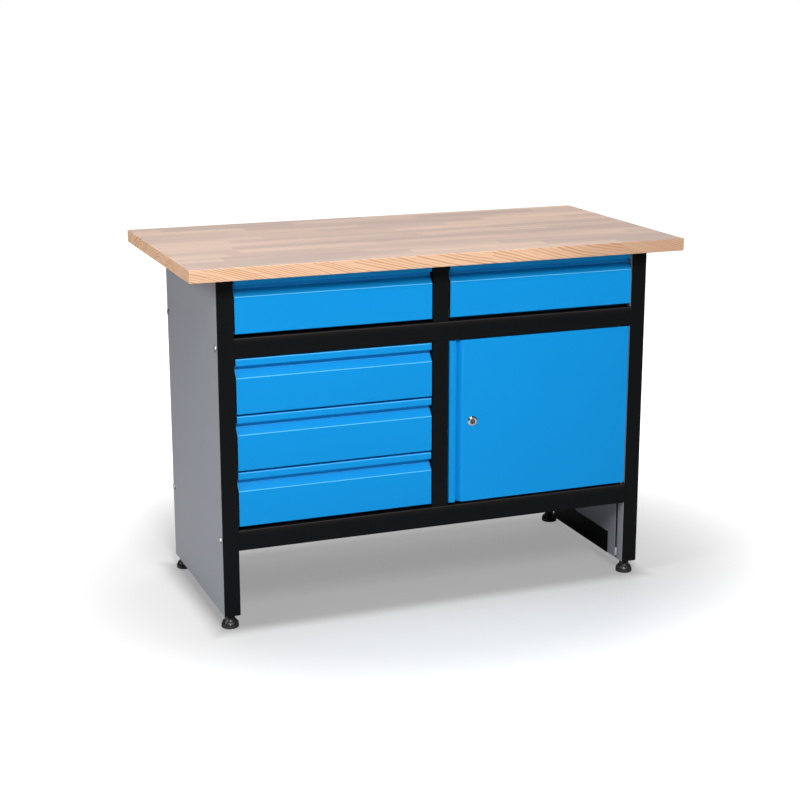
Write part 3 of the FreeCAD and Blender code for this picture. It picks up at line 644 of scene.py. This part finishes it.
def hexagon_prism(bm, width, low, high, chamfer, bore=0.0):
    """Adds a hexagon along z whose far corners are turned down to a round chamfer."""
    sides = 6
    count = sides * 8
    turned = width * 0.49
    rings = []
    for z, round_off in ((low, 0.0), (high - chamfer, 0.0), (high, 1.0)):
        ring = []
        for step in range(count):
            turn = 2 * math.pi * step / count
            off_flat = (turn + math.pi / sides) % (2 * math.pi / sides) - math.pi / sides
            flat = width / 2 / math.cos(off_flat)
            radius = min(flat, turned) if round_off else flat
            # The chamfer is a cone, so it starts lower towards a corner.
            drop = max(0.0, flat - turned) * 0.577 if z == high - chamfer else 0.0
            height = high - drop - 0.05 * MM if z == high - chamfer else z
            ring.append(bm.verts.new((radius * math.cos(turn), radius * math.sin(turn), height)))
        rings.append(ring)
    for below, above in zip(rings, rings[1:]):
        join_rings(bm, below, above)
    if not bore:
        bm.faces.new(rings[0])
        bm.faces.new(rings[-1])
        return
    holes = []
    for z in (low, high):
        holes.append([bm.verts.new((bore * math.cos(2 * math.pi * step / count),
                                    bore * math.sin(2 * math.pi * step / count), z))
                      for step in range(count)])
    for edge, hole in zip((rings[0], rings[-1]), holes):
        join_rings(bm, edge, hole)
    join_rings(bm, *holes)


def island_boxes(node):
    """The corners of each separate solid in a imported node."""
    bm = bmesh.new()
    bm.from_mesh(frame["nodes"][node].data)
    bmesh.ops.remove_doubles(bm, verts=bm.verts, dist=WELD_GAP)
    left = set(bm.verts)
    boxes = []
    while left:
        group = [left.pop()]
        for vertex in group:
            for edge in vertex.link_edges:
                other = edge.other_vert(vertex)
                if other in left:
                    left.remove(other)
                    group.append(other)
        corners = [[vertex.co[part] for vertex in group] for part in range(3)]
        boxes.append((Vector([min(c) for c in corners]), Vector([max(c) for c in corners])))
    bm.free()
    return sorted(boxes, key=lambda pair: tuple(pair[0]))


# Geometry node trees


def new_tree(name, **inputs):
    """A geometry node tree with named inputs, its graph and its input node's outputs."""
    tree = bpy.data.node_groups.new(name, "GeometryNodeTree")
    tree.interface.new_socket("Geometry", in_out="INPUT", socket_type="NodeSocketGeometry")
    tree.interface.new_socket("Geometry", in_out="OUTPUT", socket_type="NodeSocketGeometry")
    kinds = {float: "NodeSocketFloat", int: "NodeSocketInt"}
    for label, value in inputs.items():
        kind = kinds.get(type(value), "NodeSocketMaterial")
        socket = tree.interface.new_socket(label.replace("_", " ").capitalize(),
                                           in_out="INPUT", socket_type=kind)
        socket.default_value = value
    graph = Graph(tree)
    source = tree.nodes.new("NodeGroupInput")
    values = {socket.name.lower().replace(" ", "_"): Value(graph, socket)
              for socket in source.outputs if socket.name}
    return tree, graph, values


def end_tree(graph, geometry, material):
    """Realizes the instances, sets the material and ends the tree."""
    plain = graph.add("GeometryNodeRealizeInstances", {}, {0: geometry})
    finished = graph.add("GeometryNodeSetMaterial", {}, {"Geometry": plain, "Material": material})
    graph.add("NodeGroupOutput", {}, {0: finished})


def run_tree(item, tree, **inputs):
    """Runs a geometry node tree on an object and settles the result."""
    modifier = item.modifiers.new(tree.name, "NODES")
    modifier.node_group = tree
    for socket in tree.interface.items_tree:
        label = socket.name.lower().replace(" ", "_")
        if socket.in_out == "INPUT" and label in inputs:
            modifier[socket.identifier] = inputs[label]
    return settle(item)


def ring_tree(material):
    """Repeats the piece that it is given round the z axis."""
    tree, graph, values = new_tree("Ribs in a ring", ribs=10, material=material)
    points = graph.add("GeometryNodePoints", {}, {"Count": values["ribs"]})
    index = graph.add("GeometryNodeInputIndex")
    turn = graph.vector(0.0, 0.0, index * (2 * math.pi) / values["ribs"])
    ring = graph.add("GeometryNodeInstanceOnPoints", {},
                     {"Points": points, "Instance": values["geometry"], "Rotation": turn})
    end_tree(graph, ring, values["material"])
    return tree


def fastener_tree(material):
    """Puts the fastener that it is given at every marked place, turned as each place says."""
    tree, graph, values = new_tree("Fasteners at places", material=material)
    is_place = graph.add("GeometryNodeInputNamedAttribute", {"data_type": "BOOLEAN"}, {0: "is_place"})
    places, pattern = [graph.add("GeometryNodeSeparateGeometry", {"domain": "POINT"},
                                 {0: values["geometry"], 1: is_place}, out) for out in (0, 1)]
    turn = graph.add("GeometryNodeInputNamedAttribute", {"data_type": "FLOAT_VECTOR"}, {0: "turn"})
    placed = graph.add("GeometryNodeInstanceOnPoints", {},
                       {"Points": places, "Instance": pattern, "Rotation": turn})
    end_tree(graph, placed, values["material"])
    return tree


def fasteners(name, pattern, places, tree):
    """One object with a fastener at every place; a place is its point and its turn."""
    bm = bmesh.new()
    bm.from_mesh(pattern)
    is_place = bm.verts.layers.bool.new("is_place")
    turn = bm.verts.layers.float_vector.new("turn")
    for point, euler in places:
        vertex = bm.verts.new(point)
        vertex[is_place] = True
        vertex[turn] = Vector(euler)
    mesh = bpy.data.meshes.new(name)
    bm.to_mesh(mesh)
    bm.free()
    item = add_object(name, mesh, FINISHES["zinc_steel"])
    return run_tree(item, tree)


# The pieces


class Step:
    """Runs an operator's own build on the scene."""

    def execute(self, context):
        self.build(context.scene)
        return {"FINISHED"}


class BENCH_OT_materials(Step, bpy.types.Operator):
    """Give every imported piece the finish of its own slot"""
    bl_idname = "bench.materials"
    bl_label = "Finishes"

    def build(self, scene):
        paint = scene.bench_paint
        low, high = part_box("worktop")
        centres = [sum(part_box("foot_" + name), Vector()) / 2 for name in FEET]
        FINISHES.update({
            "laminated_wood": glued_wood("Glued_staves", scene.bench_worktop, low, high),
            "grey_paint": powder_coat("Grey_powder_coat", paint.grey, paint.grey_bend_highlight,
                                      0.38, 0.22, paint.peel),
            "black_paint": powder_coat("Black_powder_coat", paint.black, paint.black_bend_highlight,
                                       0.42, 0.08, paint.peel),
            "blue_paint": powder_coat("Blue_powder_coat", paint.blue, paint.blue_bend_highlight,
                                      0.40, 0.08, paint.peel),
            "zinc_steel": zinc_plate("Zinc_plate"),
            "lock_chrome": polished_metal("Lock_chrome", (0.62, 0.66, 0.70), 0.05),
            "lock_brass": polished_metal("Lock_plug_metal", (0.24, 0.16, 0.13), 0.34),
            "foot_plastic": moulded_plastic("Foot_plastic", scene.bench_foot, centres),
        })
        slots = {part["node"]: part["material_slot"] for part in frame["record"]["subparts"]}
        for node, item in frame["nodes"].items():
            item.data.materials.clear()
            item.data.materials.append(FINISHES[slots[node]])


class BENCH_OT_worktop(Step, bpy.types.Operator):
    """Make the worktop board with eased edges"""
    bl_idname = "bench.worktop"
    bl_label = "Worktop"

    def build(self, scene):
        low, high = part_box("worktop")
        edge = scene.bench_worktop.edge
        add_piece("worktop_board", slab(low, high), "laminated_wood", "frame", "worktop", edge, 3)


class BENCH_OT_drawer_fronts(Step, bpy.types.Operator):
    """Fold the drawer fronts"""
    bl_idname = "bench.drawer_fronts"
    bl_label = "Drawer fronts"

    def build(self, scene):
        front = scene.bench_front
        for name in DRAWERS:
            node = "drawer_" + name + "_front"
            low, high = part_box(node)
            wall_bottom = high.z - front.lip - front.wall
            outline = [
                (low.y + front.grip, high.z),
                (low.y + front.lip_setback, high.z),
                (low.y + front.lip_setback, high.z - front.lip),
                (low.y + front.grip, high.z - front.lip),
                (low.y + front.grip, wall_bottom),
                (low.y, wall_bottom - front.slope, front.crease),
                (low.y, low.z),
                (high.y, low.z),
            ]
            bm = folded_sheet(outline, front.sheet, front.bend, front.steps, across, low.x, high.x)
            add_piece(name + "_drawer_face", bm, "blue_paint", "drawer_" + name, node, front.ease)


class BENCH_OT_door(Step, bpy.types.Operator):
    """Fold the cupboard door"""
    bl_idname = "bench.door"
    bl_label = "Door"

    def build(self, scene):
        front = scene.bench_front
        low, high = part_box("door_panel")
        lip = low.x + front.door_lip
        wall = lip + front.door_wall
        outline = [
            (low.x, high.y),
            (low.x, low.y + front.lip_setback),
            (lip, low.y + front.lip_setback),
            (lip, low.y + front.grip),
            (wall, low.y + front.grip),
            (wall + front.door_slope, low.y, front.door_crease),
            (high.x, low.y),
            (high.x, high.y),
        ]
        bm = folded_sheet(outline, front.sheet, front.bend, front.steps, upright, low.z, high.z)
        add_piece("door_skin", bm, "blue_paint", "door", "door_panel", front.ease)


class BENCH_OT_rails(Step, bpy.types.Operator):
    """Fold the rails and the centre posts"""
    bl_idname = "bench.rails"
    bl_label = "Rails and posts"

    def build(self, scene):
        size = scene.bench_frame
        for node, islands in (("lower_rail", 1), ("middle_rail", 1), ("rear_rails", 2)):
            parts = bmesh.new()
            for low, high in island_boxes(node):
                face, mouth = (high.y, low.y) if islands == 2 else (low.y, high.y)
                outline = [(mouth, high.z), (face, high.z), (face, low.z), (mouth, low.z)]
                if islands == 2:
                    outline.reverse()
                merge(parts, folded_sheet(outline, size.sheet, size.bend, size.steps,
                                          across, low.x, high.x))
                for start in (low.x, high.x - size.sheet):
                    inset = size.sheet / 2
                    merge(parts, slab((start, low.y + inset, low.z + inset),
                                      (start + size.sheet, high.y - inset, high.z - inset)))
            add_piece("folded_" + node, parts, "black_paint", "frame", node, size.ease)
        for node in ("centre_post_upper", "centre_post_lower", "rear_post"):
            low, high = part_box(node)
            rear = node == "rear_post"
            face, mouth = (high.y, low.y) if rear else (low.y, high.y)
            right = face + size.keeper if node == "centre_post_lower" else mouth
            outline = [(low.x, mouth), (low.x, face), (high.x, face), (high.x, right)]
            if rear:
                outline.reverse()
            parts = folded_sheet(outline, size.sheet, size.bend, size.steps, upright, low.z, high.z)
            if node != "centre_post_lower":
                ahead = -1 if rear else 1
                ends = sorted((face + ahead * size.sheet / 2, face + ahead * (size.sheet + size.tab)))
                merge(parts, slab((low.x + size.sheet / 2, ends[0], high.z - size.sheet),
                                  (high.x - size.sheet / 2, ends[1], high.z)))
            add_piece("folded_" + node, parts, "black_paint", "frame", node, size.ease)


class BENCH_OT_sides(Step, bpy.types.Operator):
    """Fold the side panels and cut the legs' front plates"""
    bl_idname = "bench.sides"
    bl_label = "Sides and legs"

    def build(self, scene):
        size = scene.bench_frame
        for hand, way in (("left", -1), ("right", 1)):
            low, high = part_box("side_panel_" + hand)
            outer, inner = (low.x, high.x) if way < 0 else (high.x, low.x)
            outline = [(inner, low.y + size.fold), (inner, low.y), (outer, low.y),
                       (outer, high.y), (inner, high.y), (inner, high.y - size.rear_fold)]
            if way < 0:
                outline.reverse()
            parts = folded_sheet(outline, size.panel, size.bend, size.steps, upright, low.z, high.z)
            front, rear = low.y + size.fold, high.y - size.rear_fold
            reach = sorted((inner + way * size.liner / 2, outer - way * size.panel / 2))
            merge(parts, slab((reach[0], front + size.flange_setback, high.z - size.panel),
                              (reach[1], rear - size.flange_setback, high.z)))
            reach = sorted((inner, inner + way * size.liner))
            merge(parts, slab((reach[0], front + size.liner_front, low.z),
                              (reach[1], rear - size.liner_rear, high.z - size.panel / 2)))
            add_piece(hand + "_side", parts, "grey_paint", "frame", "side_panel_" + hand, size.ease)
            leg = "front_leg_" + hand
            add_piece(hand + "_leg_plate", slab(*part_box(leg)), "black_paint", "frame", leg, size.bend, 4)


class BENCH_OT_fasteners(Step, bpy.types.Operator):
    """Put the bolts, nuts and screws in their places"""
    bl_idname = "bench.fasteners"
    bl_label = "Fasteners"

    def build(self, scene):
        size = scene.bench_fastener
        tree = fastener_tree(FINISHES["zinc_steel"])
        panel_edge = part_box("side_panel_right")[1].x
        bolts = self.both_ends("frame_bolts", panel_edge)
        low, high = island_boxes("frame_bolts")[0]
        reach = max(abs(low.x), abs(high.x))
        shank = panel_edge - min(abs(low.x), abs(high.x))
        pattern = self.bolt(size, reach - panel_edge, shank)
        self.place("frame_bolt_set", pattern, bolts, tree, "frame_bolts")

        low, high = island_boxes("frame_nuts")[0]
        nuts = self.both_ends("frame_nuts", min(abs(low.x), abs(high.x)))
        self.place("frame_nut_set", self.nut(size, high.x - low.x), nuts, tree, "frame_nuts")

        for node, turn, axis in (("back_panel_screws", (-QUARTER_TURN, 0.0, 0.0), 1),
                                 ("worktop_screws", (math.pi, 0.0, 0.0), 2)):
            places = []
            for low, high in island_boxes(node):
                point = (low + high) / 2
                point[axis] = high.y if axis == 1 else low.z
                places.append((point, turn))
            low, high = island_boxes(node)[0]
            across_head = min(high[part] - low[part] for part in range(3) if part != axis)
            pattern = self.screw(size, across_head / 2, high[axis] - low[axis])
            self.place(node.replace("screws", "screw_set"), pattern, places, tree, node)

    def both_ends(self, node, reach):
        """Places at each of a node's solids, a reach from the middle and facing outwards."""
        places = []
        for low, high in island_boxes(node):
            way = 1 if low.x + high.x > 0 else -1
            centre = (low + high) / 2
            places.append(((way * reach, centre.y, centre.z), (0.0, way * QUARTER_TURN, 0.0)))
        return places

    def place(self, name, pattern, places, tree, node):
        item = fasteners(name, pattern, places, tree)
        finish_piece(item, "frame", "zinc_steel", node)

    def bolt(self, size, height, shank):
        """A hexagon head on a washer face with a threaded shank; its head stands on z = 0."""
        bm = bmesh.new()
        hexagon_prism(bm, size.width, size.washer, height, size.chamfer)
        radius = 4.0 * MM
        point = 0.9 * MM
        root = radius - 0.55 * MM
        washer = size.width * 0.47
        profile = [(0, -shank), (radius - point, -shank), (radius, -shank + point)]
        for turn in range(int(0.5 * shank / size.pitch)):
            start = -shank + point + turn * size.pitch
            profile += [(root, start + size.pitch / 2), (radius, start + size.pitch)]
        profile += [(radius, 0.0), (washer, 0.0), (washer, size.washer), (0, size.washer)]
        lathed(bm, profile, 24)
        return mesh_from(bm, "bolt_pattern", FINE_SMOOTH)

    def nut(self, size, height):
        """A hexagon nut that stands on z = 0."""
        bm = bmesh.new()
        bore = 4.15 * MM
        hexagon_prism(bm, size.width, 0.0, height, size.chamfer * 0.7, bore)
        return mesh_from(bm, "nut_pattern", FINE_SMOOTH)

    def screw(self, size, radius, total):
        """A pan head with a cross recess whose top is at z = 0, and its tapered shank."""
        bm = bmesh.new()
        depth = radius * 0.6
        thin = radius * 0.52
        profile = [(0, -total), (thin * 0.35, -total + 1.2 * MM), (thin, -total + 4.0 * MM),
                   (thin, -depth), (radius, -depth), (radius, -depth * 0.62), (radius * 0.93, -depth * 0.36),
                   (radius * 0.78, -depth * 0.15), (radius * 0.5, -depth * 0.03), (0, 0.0)]
        lathed(bm, profile, 32)
        mesh = mesh_from(bm, "screw_pattern", FINE_SMOOTH)
        head = add_object("screw_pattern", mesh, FINISHES["zinc_steel"])
        cross = bmesh.new()
        arm = radius * 0.62
        for x, y in ((arm, size.recess / 2), (size.recess / 2, arm)):
            merge(cross, slab((-x, -y, -size.recess_depth), (x, y, size.recess_depth)))
        cut_away(head, add_object("recess", mesh_from(cross, "recess"), FINISHES["zinc_steel"]), True)
        pattern = head.data
        bpy.data.objects.remove(head)
        return pattern


class BENCH_OT_lock(Step, bpy.types.Operator):
    """Turn the lock's ring and plug"""
    bl_idname = "bench.lock"
    bl_label = "Lock"

    def build(self, scene):
        low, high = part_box("lock_housing")
        radius = (high.x - low.x) / 2
        facing = Matrix.Rotation(-QUARTER_TURN, 4, "X")
        middle = Vector((low.x + radius, low.y, low.z + radius))
        plug_low, plug_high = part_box("lock_plug")
        plug_radius = (plug_high.x - plug_low.x) / 2
        depth = high.y - low.y
        body = radius * 0.78
        bore = plug_radius + PLUG_GAP
        bm = bmesh.new()
        profile = [(bore, depth), (bore, 0.7 * MM), (bore + 0.5 * MM, 0.2 * MM), (bore + 1.5 * MM, 0.0),
                   (radius * 0.74, 0.05 * MM), (radius * 0.84, 0.5 * MM), (radius * 0.95, 1.5 * MM),
                   (radius, 2.1 * MM), (radius, 2.9 * MM), (radius - 0.1 * MM, 3.0 * MM),
                   (body, 3.0 * MM), (body, depth), (bore, depth)]
        lathed(bm, profile, 64, Matrix.Translation(middle) @ facing)
        item = add_object("lock_ring", mesh_from(bm, "lock_ring", FINE_SMOOTH), FINISHES["lock_chrome"])
        finish_piece(item, "door", "lock_chrome", "lock_housing")

        # The plug: a dished face with a keyway, and a chamfer round its edge.
        bm = bmesh.new()
        long = plug_high.y - plug_low.y
        profile = [(0, 0.45 * MM), (plug_radius * 0.55, 0.4 * MM), (plug_radius * 0.8, 0.1 * MM),
                   (plug_radius * 0.92, 0.0), (plug_radius, 0.4 * MM), (plug_radius, long), (0, long)]
        lathed(bm, profile, 64, Matrix.Translation((middle.x, plug_low.y, middle.z)) @ facing)
        mesh = mesh_from(bm, "lock_barrel", FINE_SMOOTH)
        item = add_object("lock_barrel", mesh, FINISHES["lock_brass"])
        slot = slab((-KEYWAY.x / 2, -1.0 * MM, -KEYWAY.z / 2), (KEYWAY.x / 2, KEYWAY.y, KEYWAY.z / 2))
        bmesh.ops.translate(slot, verts=slot.verts, vec=(middle.x, plug_low.y, middle.z))
        cut_away(item, add_object("keyway", mesh_from(slot, "keyway"), FINISHES["lock_brass"]))
        finish_piece(item, "lock", "lock_brass", "lock_plug")


class BENCH_OT_feet(Step, bpy.types.Operator):
    """Make the ribbed levelling feet"""
    bl_idname = "bench.feet"
    bl_label = "Levelling feet"

    def build(self, scene):
        foot = scene.bench_foot
        tree = ring_tree(FINISHES["foot_plastic"])
        for name in FEET:
            low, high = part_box("foot_" + name)
            radius = (high.x - low.x) / 2
            height = high.z - low.z
            neck = radius * 0.575
            slope = (radius - neck) / (foot.collar - foot.shoulder)
            brink = radius - (foot.pocket - foot.shoulder) * slope
            skin = 0.3 * MM
            deep = foot.core * 0.8
            root = foot.rim - 1.0 * MM
            outline = [(deep, root), (radius - skin, root),
                       (radius - skin, foot.shoulder - skin), (radius - 3 * skin, foot.shoulder + skin),
                       (brink - skin, foot.pocket + skin), (deep, foot.pocket + 1.0 * MM)]
            rib = bmesh.new()
            sides = [[rib.verts.new((r, side * foot.rib / 2, z)) for r, z in outline] for side in (-1, 1)]
            for here in range(len(outline)):
                there = (here + 1) % len(outline)
                rib.faces.new([sides[0][here], sides[0][there], sides[1][there], sides[1][here]])
            for side in sides:
                rib.faces.new(side)
            ribs = add_object(name + "_foot_ribs", mesh_from(rib, "rib"), FINISHES["foot_plastic"])
            ease_edges(ribs, 0.35 * MM)
            run_tree(ribs, tree, ribs=foot.ribs)
            bm = bmesh.new()
            bm.from_mesh(ribs.data)
            profile = [(0, 0.0), (radius - 1.2 * MM, 0.0), (radius - 0.4 * MM, 0.4 * MM),
                       (radius, 1.4 * MM),
                       (radius, foot.rim - 0.5 * MM), (radius - 0.5 * MM, foot.rim),
                       (foot.core + 4.0 * MM, foot.rim + 0.6 * MM),
                       (foot.core + 3.0 * MM, foot.rim + 1.2 * MM),
                       (foot.core, foot.pocket - 1.0 * MM), (foot.core + 0.4 * MM, foot.pocket),
                       (brink - 0.4 * MM, foot.pocket), (brink - 0.2 * MM, foot.pocket + 0.6 * MM),
                       (neck + 0.5 * MM, foot.collar - 0.6 * MM), (neck, foot.collar + 0.6 * MM),
                       (neck, foot.collar + 3.0 * MM), (neck - 0.8 * MM, foot.collar + 4.0 * MM),
                       (neck - 2.0 * MM, height), (0, height)]
            lathed(bm, profile, 64)
            centre = (low + high) / 2
            bmesh.ops.translate(bm, verts=bm.verts, vec=(centre.x, centre.y, low.z))
            mesh = mesh_from(bm, name + "_foot")
            item = add_object(name + "_foot_base", mesh, FINISHES["foot_plastic"])
            bpy.data.objects.remove(ribs)
            finish_piece(item, "foot_" + name, "foot_plastic", "foot_" + name)


class BENCH_OT_stage(Step, bpy.types.Operator):
    """Set the floor, the lights and the camera"""
    bl_idname = "bench.stage"
    bl_label = "Stage"

    def build(self, scene):
        stage = scene.bench_stage
        bm = bmesh.new()
        bmesh.ops.create_grid(bm, x_segments=1, y_segments=1, size=stage.reach)
        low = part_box("side_panel_left")[0]
        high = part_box("side_panel_right")[1]
        floor = add_object("studio_floor", mesh_from(bm, "floor"),
                           studio_floor("Studio_floor", stage.floor, low, high))

        world = bpy.data.worlds.new("Studio")
        world.use_nodes = True
        sky = Graph(world.node_tree)
        seen = sky.add("ShaderNodeLightPath", {}, {}, "Is Camera Ray")
        background = world.node_tree.nodes["Background"]
        background.inputs["Color"].default_value = (1.0, 1.0, 1.0, 1.0)
        strength = stage.ambient + seen * (1.0 - stage.ambient)
        sky.tree.links.new(strength.socket, background.inputs["Strength"])
        scene.world = world

        lights = {
            "key_softbox": ((-0.6, -3.1, 3.05), (0.0, -0.2, 0.45), 1.1, 140.0),
            "top_softbox": ((0.2, 0.9, 3.6), (0.0, 0.0, 0.8), 3.0, 80.0),
            "left_softbox": ((-3.6, -0.6, 2.4), (-0.5, 0.0, 0.4), 2.0, 69.0),
        }
        for name, (place, aim, size, power) in lights.items():
            light = bpy.data.lights.new(name, "AREA")
            light.size = size
            light.energy = power
            lamp = bpy.data.objects.new(name, light)
            lamp.location = place
            lamp.rotation_euler = (Vector(aim) - Vector(place)).to_track_quat("-Z", "Y").to_euler()
            scene.collection.objects.link(lamp)

        camera = bpy.data.cameras.new("camera")
        camera.lens = stage.lens
        camera.sensor_width = 36.0
        eye = bpy.data.objects.new("camera", camera)
        eye.location = stage.camera
        eye.rotation_euler = Euler((QUARTER_TURN - stage.pitch, 0.0, -stage.yaw))
        scene.collection.objects.link(eye)
        scene.camera = eye
        scene.view_settings.view_transform = "Standard"


class BENCH_PT_panel(bpy.types.Panel):
    bl_idname = "BENCH_PT_panel"
    bl_label = "Workbench"
    bl_space_type = "VIEW_3D"
    bl_region_type = "UI"
    bl_category = "Workbench"

    def draw(self, context):
        for operator in OPERATORS:
            self.layout.operator(operator.bl_idname)


FINISHES = {}
SETTINGS = {
    "bench_worktop": WorktopSettings,
    "bench_paint": PaintSettings,
    "bench_front": FrontSettings,
    "bench_frame": FrameSettings,
    "bench_foot": FootSettings,
    "bench_fastener": FastenerSettings,
    "bench_stage": StageSettings,
}
OPERATORS = [
    BENCH_OT_materials,
    BENCH_OT_worktop,
    BENCH_OT_drawer_fronts,
    BENCH_OT_door,
    BENCH_OT_rails,
    BENCH_OT_sides,
    BENCH_OT_fasteners,
    BENCH_OT_lock,
    BENCH_OT_feet,
    BENCH_OT_stage,
]


def register():
    for name, group in SETTINGS.items():
        bpy.utils.register_class(group)
        setattr(bpy.types.Scene, name, bpy.props.PointerProperty(type=group))
    for item in [*OPERATORS, BENCH_PT_panel]:
        bpy.utils.register_class(item)


def unregister():
    for item in [BENCH_PT_panel, *reversed(OPERATORS)]:
        bpy.utils.unregister_class(item)
    for name, group in SETTINGS.items():
        delattr(bpy.types.Scene, name)
        bpy.utils.unregister_class(group)


def main():
    register()
    for operator in OPERATORS:
        group, name = operator.bl_idname.split(".")
        getattr(getattr(bpy.ops, group), name)()


if __name__ == "__main__":
    main()
